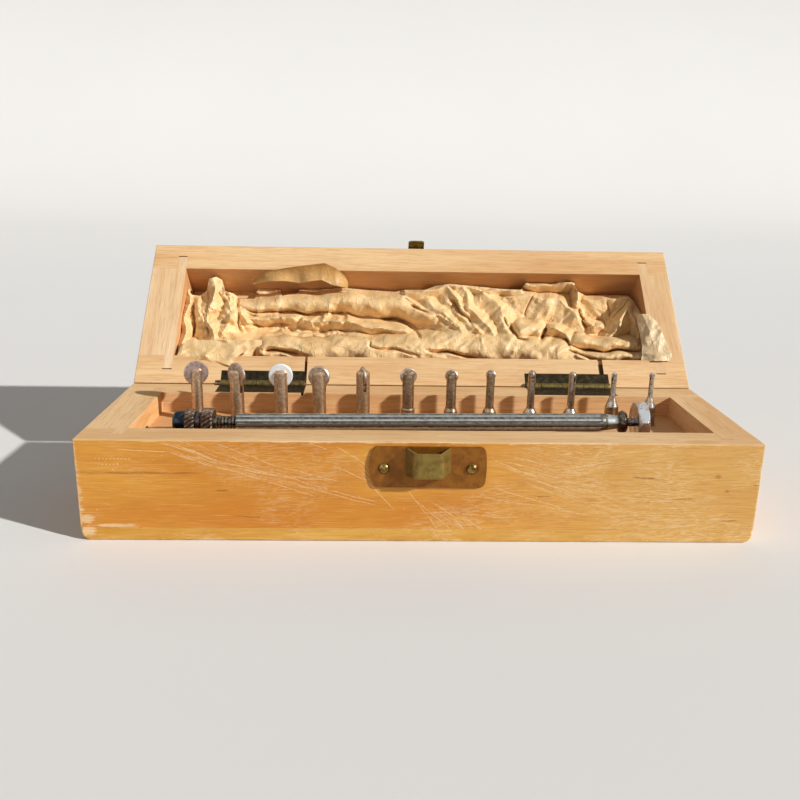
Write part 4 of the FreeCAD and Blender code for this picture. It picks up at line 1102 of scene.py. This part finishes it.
@dataclass
class ToolSet:
    """Twelve graduated burnishers: slotted shanks and wheels, from browned to bright steel."""

    shop: Workshop
    count: int = 12
    browned: int = 5
    grey: int = 8
    polished: int = 3
    pin_reach: float = 0.6

    def finish_of(self, number: int) -> tuple[Metal, Metal, Slot]:
        """Give a tool's shank finish, wheel finish and slot."""
        if number <= self.browned:
            shank = Metal(f"browned_shank_steel_{number:02d}", clean="#D3BDA3",
                          patina="#AC8F6E", speck="#6A5441", coverage=0.42 + 0.04 * number,
                          patch=0.7, rough=(0.32, 0.46))
            slot = Slot.BROWNED
        elif number <= self.grey:
            shank = Metal("grey_shank_steel", clean="#B5A088", patina="#846E57",
                          speck="#54463A", coverage=0.5, patch=0.8, rough=(0.28, 0.42))
            slot = Slot.DARK
        else:
            shank = Metal("polished_shank_steel", clean="#B9AC9D", patina="#806D59",
                          speck="#4E4034", coverage=0.4, patch=0.8, rough=(0.2, 0.34))
            slot = Slot.BRIGHT
        wheels = {
            1: Metal("pinkish_wheel_steel", clean="#C4B2AA", patina="#98807A",
                     speck="#6B554E", coverage=0.5, patch=0.8, rough=(0.3, 0.46)),
            self.polished: Metal("polished_wheel_steel", clean="#F2F5F4", patina="#DDE0DE",
                     speck="#B4AFA8", coverage=0.3, patch=1.4, rough=(0.3, 0.4), metallic=0.45),
        }
        plain = Metal("browned_wheel_steel", clean="#CDBEAF", patina="#A58C7A",
                      speck="#6B5647", coverage=0.5, patch=0.8, rough=(0.3, 0.46))
        return shank, wheels.get(number, plain), slot

    def brown_pin(self, wheel: Piece, finish: Metal) -> None:
        """Give the pin of the pale wheel the brown of the other pins.

        Args:
            wheel: the wheel with its pin.
            finish: the pin's finish.
        """
        corners = [Vector(corner) for corner in wheel.bound_box]
        middle = sum(corners, Vector()) / len(corners)
        axis = max(wheel.data.polygons, key=lambda face: face.area).normal.copy()
        self.shop.paint_faces(wheel, finish, lambda face, _: all(
            (v.co - middle).cross(axis).length < self.pin_reach * MM for v in face.verts))

    def build(self) -> None:
        """Make the shanks and wheels."""
        for number in range(1, self.count + 1):
            tag = f"{number:02d}"
            shank, rim, slot = self.finish_of(number)
            self.shop.dress(f"shank_{tag}", "steel", f"tool_{tag}", shank, slot)
            wheel = self.shop.dress(f"wheel_{tag}", "steel", f"roller_{tag}", rim, slot)
            if number == self.polished:
                self.brown_pin(wheel, self.finish_of(number + 1)[1])


@dataclass
class Sight:
    """The camera, solved from the corners of the box, for a square picture in pixels."""

    size: int = 800
    focal: float = 831.8
    place: Vector = Vector((-10.17589, -192.89297, 81.84366))
    right: Vector = Vector((0.99954729, -0.02476781, 0.01708113))
    down: Vector = Vector((0.00955883, -0.27689032, -0.96085398))
    ahead: Vector = Vector((0.02852785, 0.96058227, -0.27652822))

    def rays(self, across: np.ndarray, below: np.ndarray) -> np.ndarray:
        """Give the directions of sight through points of the picture, in rows."""
        middle = self.size / 2
        return (np.outer((across - middle) / self.focal, self.right)
                + np.outer((below - middle) / self.focal, self.down)
                + np.outer(np.ones(len(across)), self.ahead))

    def into_lid(self, across: np.ndarray, below: np.ndarray,
                 height: np.ndarray) -> tuple[np.ndarray, np.ndarray]:
        """Find where lines of sight meet a height over the lid's inner face.

        Args:
            across: places across the picture, in pixels.
            below: places down the picture, in pixels.
            height: heights over the inner face of the top board.

        Returns:
            The distance along the box, and the distance from the hinge line, in rows.
        """
        back = Vector((0, math.cos(LID_ANGLE), -math.sin(LID_ANGLE)))
        rays = self.rays(across, below)
        level = LID_FLOOR - height + LID_UP.dot(HINGE_LINE) - LID_UP.dot(self.place)
        reach = level / (rays @ np.array(LID_UP))
        spots = np.array(self.place) + rays * reach[:, None]
        return spots[:, 0], -((spots - np.array(HINGE_LINE)) @ np.array(back))

    def build(self) -> None:
        """Make the camera."""
        data = bpy.data.cameras.new("camera")
        data.lens = self.focal * data.sensor_width / self.size
        data.clip_start = 0.01
        camera = bpy.data.objects.new("camera", data)
        bpy.context.scene.collection.objects.link(camera)
        turned = Matrix((self.right, -self.down, -self.ahead)).transposed().to_4x4()
        camera.matrix_world = Matrix.Translation(self.place * MM) @ turned
        bpy.context.scene.camera = camera


@dataclass(frozen=True)
class Fold:
    """A crest in the paper: its line in the picture, with a height over the lid's inner face.

    Its sides fall away over the widths given, in pixels, either round or straight.
    """

    line: tuple[tuple[float, float, float], ...]
    above: float
    below: float
    drop: float = 4.0
    round_top: bool = False


@dataclass
class PaperInLid:
    """One sheet of waxed paper crumpled into the lid, and its flaps."""

    shop: Workshop
    sight: Sight
    columns: int = 480
    rows: int = 92
    thickness: float = 0.12
    flat_width: float = 75.0
    scrap_width: float = 10.0
    sheet_room: tuple[float, float, float, float] = (-65.25, 66.45, 8.9, 37.75)
    flap_room: tuple[float, float, float, float] = (-65.0, 66.0, 9.0, 37.7)
    lobe_room: tuple[float, float, float, float] = (-74.0, 72.0, 3.0, 37.7)
    folds: tuple[Fold, ...] = (
        Fold(((240, 305, 6.6), (290, 301, 7.4), (350, 299, 8.4), (400, 303, 8.4),
              (432, 313, 8.0)), 9, 13, 3.6, True),
        Fold(((338, 292, 7.0), (405, 299, 8.2), (440, 316, 8.0), (462, 334, 8.0)), 7, 9),
        Fold(((236, 318, 5.6), (300, 319, 6.2), (340, 322, 7.2), (368, 326, 7.4),
              (405, 333, 8.0)), 8, 9),
        Fold(((267, 345, 8.6), (300, 346, 9.4), (350, 345, 9.5), (371, 344, 9.4)), 9, 15, 3.0,
             True),
        Fold(((371, 347, 9.5), (420, 345, 9.5), (470, 341, 9.0), (520, 343, 9.0),
              (560, 350, 9.0), (586, 361, 8.0)), 10, 16, 2.4, True),
        Fold(((182, 350, 9.6), (235, 347, 9.8), (262, 343, 7.2)), 8, 12, 3.0),
        Fold(((214, 279, 9.8), (213, 300, 10.2), (207, 318, 9.4), (213, 337, 8.4)), 13, 12,
             3.2),
        Fold(((196, 299, 8.2), (203, 318, 9.2), (206, 332, 8.2)), 11, 11, 3.0),
        Fold(((228, 294, 8.6), (233, 312, 8.6), (221, 333, 8.2)), 12, 14, 3.0),
        Fold(((219, 292, 9.2), (238, 312, 7.8), (246, 320, 6.6)), 9, 10, 3.0),
        Fold(((189, 294, 8.2), (186, 325, 9.4), (181, 352, 9.4)), 7, 12, 4.0),
        Fold(((404, 294, 8.4), (436, 288, 9.3), (452, 286, 9.4), (475, 289, 9.0),
              (520, 292, 8.8)), 4, 10, 3.0),
        Fold(((444, 287, 9.2), (458, 300, 9.2), (466, 318, 8.6), (480, 333, 8.2)), 9, 16, 3.2),
        Fold(((463, 288, 9.2), (472, 308, 8.4), (484, 320, 8.9), (493, 333, 8.2)), 8, 15, 2.4),
        Fold(((428, 300, 8.2), (446, 316, 8.2), (463, 334, 8.2)), 12, 13, 2.6),
        Fold(((482, 291, 8.8), (502, 307, 8.0), (506, 333, 8.4)), 10, 14, 2.2),
        Fold(((500, 300, 7.8), (530, 295, 8.6), (560, 300, 8.5), (577, 314, 7.6)), 8, 26, 4.0),
        Fold(((520, 331, 8.8), (536, 328, 8.8)), 12, 12, 5.0, True),
        Fold(((526, 284, 9.5), (550, 285, 9.6), (573, 285, 9.8), (579, 300, 9.0),
              (577, 313, 8.0)), 4, 8, 4.5),
        Fold(((584, 299, 6.2), (606, 299, 6.4), (631, 299, 6.8)), 5, 24, 4.5),
        Fold(((630, 307, 8.2), (620, 325, 7.2), (607, 337, 6.2)), 12, 14, 4.0),
        Fold(((630, 307, 8.2), (635, 322, 7.6), (638, 337, 7.4)), 8, 8, 4.0),
        Fold(((588, 322, 6.8), (593, 327, 7.4), (601, 325, 7.0)), 6, 6, 4.0),
        Fold(((541, 326, 7.8), (552, 328, 8.6), (566, 334, 8.2), (572, 343, 8.0)), 8, 10, 4.5),
        Fold(((576, 341, 8.6), (602, 343, 9.0), (641, 346, 9.3)), 7, 8, 4.0, True),
        Fold(((578, 356, 9.4), (610, 356, 9.5), (648, 357, 9.6)), 6, 7, 4.0, True),
        Fold(((640, 316, 9.2), (650, 330, 9.8), (656, 352, 9.9)), 14, 12, 5.0),
    )
    creases: tuple[tuple[tuple[tuple[float, float], ...], float, float], ...] = (
        (((243, 309), (262, 311), (300, 313), (330, 311), (346, 317)), 2.6, 1.8),
        (((237, 324), (262, 325), (302, 325)), 2.2, 1.0),
        (((264, 336), (290, 337), (330, 336), (382, 338)), 3.0, 2.2),
        (((379, 315), (398, 322), (414, 327)), 3.4, 2.4),
        (((369, 338), (372, 346), (390, 350), (420, 355)), 2.4, 1.5),
        (((408, 306), (421, 309), (432, 311)), 2.6, 1.8),
        (((451, 299), (463, 315), (473, 326)), 3.2, 2.4),
        (((408, 326), (421, 338)), 3.0, 1.8),
        (((503, 316), (508, 326), (511, 336)), 2.4, 1.6),
        (((531, 293), (528, 306), (527, 317)), 1.6, 0.8),
        (((512, 322), (511, 332), (517, 339), (530, 340)), 2.4, 2.2),
        (((541, 341), (542, 332), (547, 323)), 3.4, 3.0),
        (((576, 306), (581, 316), (585, 331)), 3.6, 3.2),
        (((566, 338), (571, 349)), 2.0, 1.6),
        (((580, 349), (604, 351), (641, 352)), 2.2, 2.4),
        (((606, 300), (613, 322)), 1.6, 0.8),
        (((628, 300), (612, 323)), 1.8, 1.0),
        (((236, 292), (240, 306), (236, 322), (242, 336)), 2.6, 1.4),
        (((193, 300), (196, 316), (192, 338)), 2.4, 1.6),
        (((263, 349), (285, 352), (306, 356)), 3.4, 3.4),
        (((427, 349), (452, 354), (482, 359)), 3.0, 2.6),
        (((566, 352), (588, 356), (602, 361)), 2.6, 2.6),
    )
    crumples: tuple[tuple[float, float, float, float, int, float], ...] = (
        (178, 660, 285, 362, 700, 0.34),
        (284, 350, 312, 336, 200, 0.85),
        (186, 240, 280, 338, 260, 0.95),
        (436, 512, 288, 336, 110, 0.7),
        (410, 520, 310, 360, 70, 0.6),
        (584, 606, 316, 336, 26, 1.0),
        (540, 575, 320, 350, 30, 0.8),
        (636, 662, 312, 362, 50, 0.8),
        (560, 582, 281, 304, 20, 0.8),
    )

    def edge(self, points: Sequence[tuple[float, float]], across: np.ndarray) -> np.ndarray:
        """Give the height of an edge of the sheet in the picture at places across it."""
        table = np.array(points, float)
        return np.interp(across, table[:, 0], table[:, 1])

    def along_line(self, x: np.ndarray, y: np.ndarray, line: Sequence[Sequence[float]]
                   ) -> tuple[np.ndarray, np.ndarray, np.ndarray]:
        """Measure to a line of points.

        Args:
            x: places across the picture.
            y: places down the picture.
            line: the line's points, each with its place and perhaps a height.

        Returns:
            The signed distance, positive below the line, the height at the nearest point, and
            how far along the line that point lies, from none to one.
        """
        best = np.full(x.shape, 1e9)
        signed, height, progress = np.zeros(x.shape), np.zeros(x.shape), np.zeros(x.shape)
        pieces = list(zip(line[:-1], line[1:]))
        for number, (first, second) in enumerate(pieces):
            run_x, run_y = second[0] - first[0], second[1] - first[1]
            length = math.hypot(run_x, run_y)
            share = np.clip(((x - first[0]) * run_x + (y - first[1]) * run_y) / length ** 2,
                            0, 1)
            away = np.hypot(x - first[0] - share * run_x, y - first[1] - share * run_y)
            side = np.sign((y - first[1]) * run_x - (x - first[0]) * run_y)
            nearer = away < best
            best = np.where(nearer, away, best)
            signed = np.where(nearer, away * np.where(side == 0, 1, side), signed)
            progress = np.where(nearer, (number + share) / len(pieces), progress)
            if len(first) > 2:
                level = first[2] + share * (second[2] - first[2])
                height = np.where(nearer, level, height)
        return signed, height, progress

    def facets(self, x: np.ndarray, y: np.ndarray, size: float, seed: int) -> np.ndarray:
        """Give a surface of flat triangles that meet at creases, from minus one to one.

        Args:
            x: places across the picture.
            y: places down the picture.
            size: width of a triangle.
            seed: start of the random heights of the corners.

        Returns:
            The height at each place.
        """
        table = np.random.default_rng(seed).uniform(-1, 1, (64, 64))
        down = y / size * 1.15
        across = x / size + 0.45 * down
        column, row = np.floor(across).astype(int), np.floor(down).astype(int)
        part_x, part_y = across - column, down - row
        first, right = table[column % 64, row % 64], table[(column + 1) % 64, row % 64]
        low, last = table[column % 64, (row + 1) % 64], table[(column + 1) % 64, (row + 1) % 64]
        near = first + part_x * (right - first) + part_y * (low - first)
        far = last + (1 - part_x) * (low - last) + (1 - part_y) * (right - last)
        return np.where(part_x + part_y < 1, near, far)

    def relief(self, x: np.ndarray, y: np.ndarray) -> np.ndarray:
        """Give the paper's height over the lid's inner face at places in the picture."""
        wavy_x = x + 1.5 * np.sin(y / 6.0 + np.sin(x / 17)) + 0.8 * np.sin(x / 5.3 + y / 3.7)
        wavy_y = y + 1.2 * np.sin(x / 9.0 + 1.2) + 0.7 * np.sin(x / 3.9 - y / 5.1)
        height = np.full(x.shape, 2.2)
        for fold in self.folds:
            away, crest, _ = self.along_line(wavy_x, wavy_y, fold.line)
            share = np.abs(away) / np.where(away > 0, fold.below, fold.above)
            fall = share ** 2 if fold.round_top else share
            height = np.maximum(height, crest - fold.drop * fall)
        for line, width, depth in self.creases:
            away, _, progress = self.along_line(wavy_x, wavy_y, line)
            tapered = depth * np.clip(6 * progress * (1 - progress), 0.15, 1)
            height -= tapered * np.clip(1 - np.abs(away) / width, 0, 1)
        chance = random.Random(7)
        for left, right, top, low, count, size in self.crumples:
            for _ in range(count):
                middle_x, middle_y = chance.uniform(left, right), chance.uniform(top, low)
                angle = chance.gauss(0, 0.9)
                length, width = chance.uniform(4, 16), chance.uniform(1.6, 5.0)
                deep = chance.uniform(-1, 1) * size * 0.6
                near = np.hypot(x - middle_x, y - middle_y) < length + width
                step_x, step_y = x[near] - middle_x, y[near] - middle_y
                run = step_x * math.cos(angle) + step_y * math.sin(angle)
                off = step_y * math.cos(angle) - step_x * math.sin(angle)
                height[near] += (deep * np.clip(1 - np.abs(off) / width, 0, 1)
                                 * np.clip(1 - np.abs(run) / length, 0, 1))
        bent_x = x + 5.0 * np.sin(y / 9.0 + 0.7) + 3.0 * np.sin(x / 13.0 + y / 21.0)
        bent_y = y + 4.0 * np.sin(x / 11.0) + 2.0 * np.sin(y / 7.0 + x / 17.0)
        busy = 0.45 + 0.55 * np.clip(1 - np.hypot((x - 212) / 40, (y - 312) / 60), 0, 1)
        busy += 0.45 * np.clip(1 - np.hypot((x - 475) / 60, (y - 320) / 60), 0, 1)
        busy += 0.35 * np.clip((x - 500) / 60, 0, 1)
        height += busy * (0.62 * self.facets(bent_x, bent_y, 13.0, 3)
                          + 0.30 * self.facets(bent_y * 1.3, bent_x, 7.0, 5))
        return np.clip(height, 0.4, 10.6)

    def lay_sheet(self, name: str, x: np.ndarray, y: np.ndarray, height: np.ndarray,
                  limits: tuple[float, float, float, float]) -> Piece:
        """Make a sheet from rows of points seen in the picture, at heights in the lid.

        Args:
            name: the piece's name.
            x: places across the picture, one row for each line of points.
            y: places down the picture.
            height: heights over the lid's inner face.
            limits: the least and greatest places along the box and from the hinge line.

        Returns:
            The sheet, with its thickness.
        """
        rows, columns = x.shape
        along, out = self.sight.into_lid(x.ravel(), y.ravel(), height.ravel())
        along, out = np.clip(along, *limits[:2]), np.clip(out, *limits[2:])
        deselect()
        bpy.ops.mesh.primitive_grid_add(x_subdivisions=columns - 1, y_subdivisions=rows - 1,
                                        size=1.0)
        piece = bpy.context.object
        piece.name = name
        turn = np.array(Matrix.Rotation(-LID_ANGLE, 3, "X"))
        local = np.column_stack([along, -out, LID_FLOOR - height.ravel()])
        world = (local @ turn.T + np.array(HINGE_LINE)) * MM
        order = np.arange(rows * columns).reshape(rows, columns)[::-1].ravel()
        piece.data.vertices.foreach_set("co", world[order].ravel())
        # The fold attribute, each point's height over its blurred neighbours, drives the
        # material's painted shade in valleys and painted highlight on crests
        smooth = height.copy()
        for _ in range(3):
            padded = np.pad(smooth, 1, mode="edge")
            smooth = (padded[:-2, 1:-1] + padded[2:, 1:-1] + padded[1:-1, :-2]
                      + padded[1:-1, 2:] + padded[1:-1, 1:-1]) / 5
        fold = np.clip(0.5 + 1.1 * (height - smooth), 0, 1).ravel()[order]
        marks = piece.data.attributes.new(FOLD, "FLOAT", "POINT")
        marks.data.foreach_set("value", fold.astype(np.float32))
        piece.data.update()
        LOG.info("%s: %.0f square millimetres", name, sum(
            p.area for p in piece.data.polygons) / MM ** 2)
        with editing(piece):
            bpy.ops.mesh.select_all(action="SELECT")
            bpy.ops.mesh.flip_normals()
        use_modifier(piece, "SOLIDIFY", thickness=self.thickness * MM, offset=0.0)
        return piece

    def hold(self, piece: Piece) -> None:
        """Give a sheet a mesh of its own."""
        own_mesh(piece)

    def build_sheet(self) -> Piece:
        """Make the crumpled sheet that fills the lid."""
        top = ((178, 296), (181, 292), (186, 289), (192, 295), (200, 296), (207, 291),
               (209, 279), (216, 277), (222, 280), (225, 291), (234, 294), (240, 299),
               (255, 299), (258, 289), (279, 286), (282, 296), (298, 293), (302, 287),
               (320, 284), (334, 288), (345, 288), (365, 290), (395, 292), (405, 290),
               (425, 290), (436, 286), (450, 284), (470, 286), (500, 289), (521, 290),
               (527, 281), (545, 281), (560, 283), (574, 282), (578, 292), (586, 296),
               (605, 295), (628, 296), (634, 302), (640, 312), (650, 318), (658, 329))
        low = ((178, 357.6), (658, 363.0))
        across = np.linspace(top[0][0], top[-1][0], self.columns)
        share = np.linspace(0, 1, self.rows)
        upper, lower = self.edge(top, across), self.edge(low, across)
        x = np.tile(across, (self.rows, 1))
        y = upper + share[:, None] * (lower - upper)
        height = self.relief(x, y)
        # Both long edges are turned down to the lid's inner face by two more rows each
        floor = np.full(self.columns, 0.3)
        parts = [(x[0], y[0] + 1.4, floor), (x[0], y[0] + 0.8, height[0] * 0.55),
                 *zip(x, y, height),
                 (x[-1], y[-1] + 1.5, height[-1] * 0.5), (x[-1], y[-1] + 2.5, floor)]
        x, y, height = (np.array([part[i] for part in parts]) for i in range(3))
        return self.lay_sheet("waxed_paper_sheet", x, y, height, self.sheet_room)

    def build_lobe(self, name: str, rows: Sequence[tuple[float, float, float]],
                   inner: float, outer: float, seed: int) -> Piece:
        """Make a corner of the paper that spills over a rim.

        Args:
            name: the piece's name.
            rows: for each level down the picture, the places of the lobe's two sides.
            inner: height of its first side.
            outer: height of its second side.
            seed: start of its small folds.

        Returns:
            The lobe.
        """
        table = np.array(rows, float)
        levels = np.linspace(table[0, 0], table[-1, 0], 40)
        first, second = (np.interp(levels, table[:, 0], table[:, i]) for i in (1, 2))
        share = np.linspace(0, 1, 40)
        x = first[:, None] + share * (second - first)[:, None]
        y = np.tile(levels[:, None], (1, 40))
        height = inner + (outer - inner) * np.clip(share * 2.2, 0, 1) * np.ones_like(x)
        chance = random.Random(seed)
        for _ in range(46):
            middle_x = chance.uniform(x.min(), x.max())
            middle_y = chance.uniform(y.min(), y.max())
            angle, width = chance.uniform(0, math.pi), chance.uniform(2, 6)
            off = (y - middle_y) * math.cos(angle) - (x - middle_x) * math.sin(angle)
            run = np.hypot(x - middle_x, y - middle_y)
            height += (chance.uniform(-0.2, 0.5) * np.clip(1 - np.abs(off) / width, 0, 1)
                       * np.clip(1 - run / 18, 0, 1))
        return self.lay_sheet(name, x, y, np.clip(height, 8.0, 13.0), self.lobe_room)

    def build_flap(self) -> Piece:
        """Make the thin curled flap that stands up against the far wall of the lid."""
        upper = ((253, 281), (258, 276), (265, 272), (285, 268), (300, 266), (325, 263),
                 (336, 268), (345, 276), (348, 282))
        lower = ((253, 284), (268, 281), (285, 281), (300, 283), (312, 281), (322, 280),
                 (332, 285), (348, 288))
        across = np.linspace(253, 348, 90)
        top, low = self.edge(upper, across), self.edge(lower, across)
        share = np.linspace(0, 1, 22)
        x = np.tile(across, (22, 1))
        y = top + share[:, None] * (low - top)
        out_low, out_high = (
            self.sight.into_lid(x.ravel(), y.ravel(), np.full(x.size, level))[1]
            for level in (0.0, 10.0))
        wanted = 37.2 - 3.4 * share[:, None] ** 1.5 + 0.35 * np.sin(x / 5.0) * share[:, None]
        height = 10 * (wanted.ravel() - out_low) / (out_high - out_low)
        return self.lay_sheet("waxed_paper_flap", x, y, height.reshape(x.shape),
                              self.flap_room)

    def build(self) -> None:
        kraft = WaxedPaper("waxed_kraft_paper")
        amber = WaxedPaper("amber_waxed_paper", lit="#E8BC78", mottle="#D5A458",
                           valley_shade="#AC7838", crest="#F2D49C", through=0.35)
        pale = WaxedPaper("pale_waxed_paper", lit="#EBD2A8", mottle="#DDB988",
                          valley_shade="#B98A55", crest="#F6E6C8")
        sheet = self.build_sheet()
        self.shop.finish(sheet, "lid", kraft, Slot.PAPER, ["wrapping_paper"], smooth=28)
        flap = self.build_flap()
        self.shop.finish(flap, "lid", amber, Slot.PAPER, smooth=40)
        right = self.build_lobe("waxed_paper_right_corner", (
            (314, 637, 648), (322, 637, 657), (335, 640, 663), (345, 642, 668),
            (355, 642, 672), (361, 641, 670)), 10.6, 12.0, 3)
        self.shop.finish(right, "lid", pale, Slot.PAPER, smooth=28)
        left = self.build_lobe("waxed_paper_left_corner", (
            (340, 186, 262), (345, 182, 262), (350, 179, 247), (356, 177, 238),
            (361, 204, 234), (366, 229, 232)), 11.2, 12.0, 5)
        self.shop.finish(left, "lid", kraft, Slot.PAPER, smooth=28)
        for piece, level, keep in ((sheet, LID_FLOOR, 0.1), (flap, LID_FLOOR, 0.1),
                                   (right, 0.02, 0.06), (left, 0.02, 0.06)):
            self.hold(piece)


@dataclass
class Studio:
    """Pale sweep and soft lights, strongest from the right as in the photograph."""

    shop: Workshop
    reach: float = 1.6
    key_strength: float = 4.25
    key_spread: float = 1.6
    key_place: tuple[float, float, float] = (0.778, -0.395, 0.490)
    fill_power: float = 0.5
    fill_size: float = 0.6
    fill_place: tuple[float, float, float] = (-0.55, -0.60, 0.45)
    sky_light: float = 0.15
    sky_seen: float = 0.8

    def build(self) -> None:
        """Make the sweep, the lamps and the world."""
        deselect()
        bpy.ops.mesh.primitive_plane_add(size=2 * self.reach, location=(0, 0, 0))
        sweep = bpy.context.object
        sweep.name = "studio_sweep"
        bake_place(sweep)
        far = self.reach - 0.01
        with editing(sweep):
            select_where(sweep, "EDGE", lambda edge, _: all(
                v.co.y > far for v in edge.verts))
            bpy.ops.mesh.extrude_region_move(
                TRANSFORM_OT_translate={"value": (0, 0, self.reach)})
            select_where(sweep, "EDGE", lambda edge, _: all(
                v.co.y > far and v.co.z < 0.01 for v in edge.verts))
            bpy.ops.mesh.bevel(offset=0.6, segments=16, affect="EDGES")
        bpy.ops.object.shade_smooth()
        sweep.data.materials.append(self.shop.material(Paint("studio_white_paint")))
        key = bpy.data.lights.new("key_light", "SUN")
        key.energy, key.angle = self.key_strength, math.radians(self.key_spread)
        fill = bpy.data.lights.new("fill_light", "AREA")
        fill.energy, fill.size = self.fill_power, self.fill_size
        for data, place in ((key, self.key_place), (fill, self.fill_place)):
            lamp = bpy.data.objects.new(data.name, data)
            bpy.context.scene.collection.objects.link(lamp)
            lamp.location = place
            aim = Vector((0, 0, 0.02)) - Vector(place)
            lamp.rotation_euler = aim.to_track_quat("-Z", "Y").to_euler()
        world = bpy.context.scene.world or bpy.data.worlds.new("studio_world")
        bpy.context.scene.world = world
        world.use_nodes = True
        tree = world.node_tree
        backdrop = tree.nodes["Background"]
        backdrop.inputs["Color"].default_value = (1, 1, 1, 1)
        paths = add_node(tree, "LightPath").node.outputs
        seen = paths["Is Camera Ray"]
        for ray in ("Is Glossy Ray", "Is Transmission Ray"):
            seen = add_node(tree, "Math", (seen, paths[ray]), operation="MAXIMUM")
        strength = add_node(tree, "MapRange", (seen, 0.0, 1.0, self.sky_light, self.sky_seen))
        tree.links.new(strength, backdrop.inputs["Strength"])
        bpy.context.scene.view_settings.view_transform = "Standard"


def main() -> None:
    """Load the frame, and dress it."""
    logging.basicConfig(level=logging.INFO, format="%(name)s: %(message)s")
    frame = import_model()
    deselect()
    shop = Workshop(frame)
    sight = Sight()
    sight.build()
    Studio(shop).build()
    for assembly in (BoxWood(shop), Hinges(shop), Catch(shop), Holder(shop), ToolSet(shop),
                     PaperInLid(shop, sight)):
        assembly.build()
        LOG.info("%s is built", type(assembly).__name__)


if __name__ == "__main__":
    main()
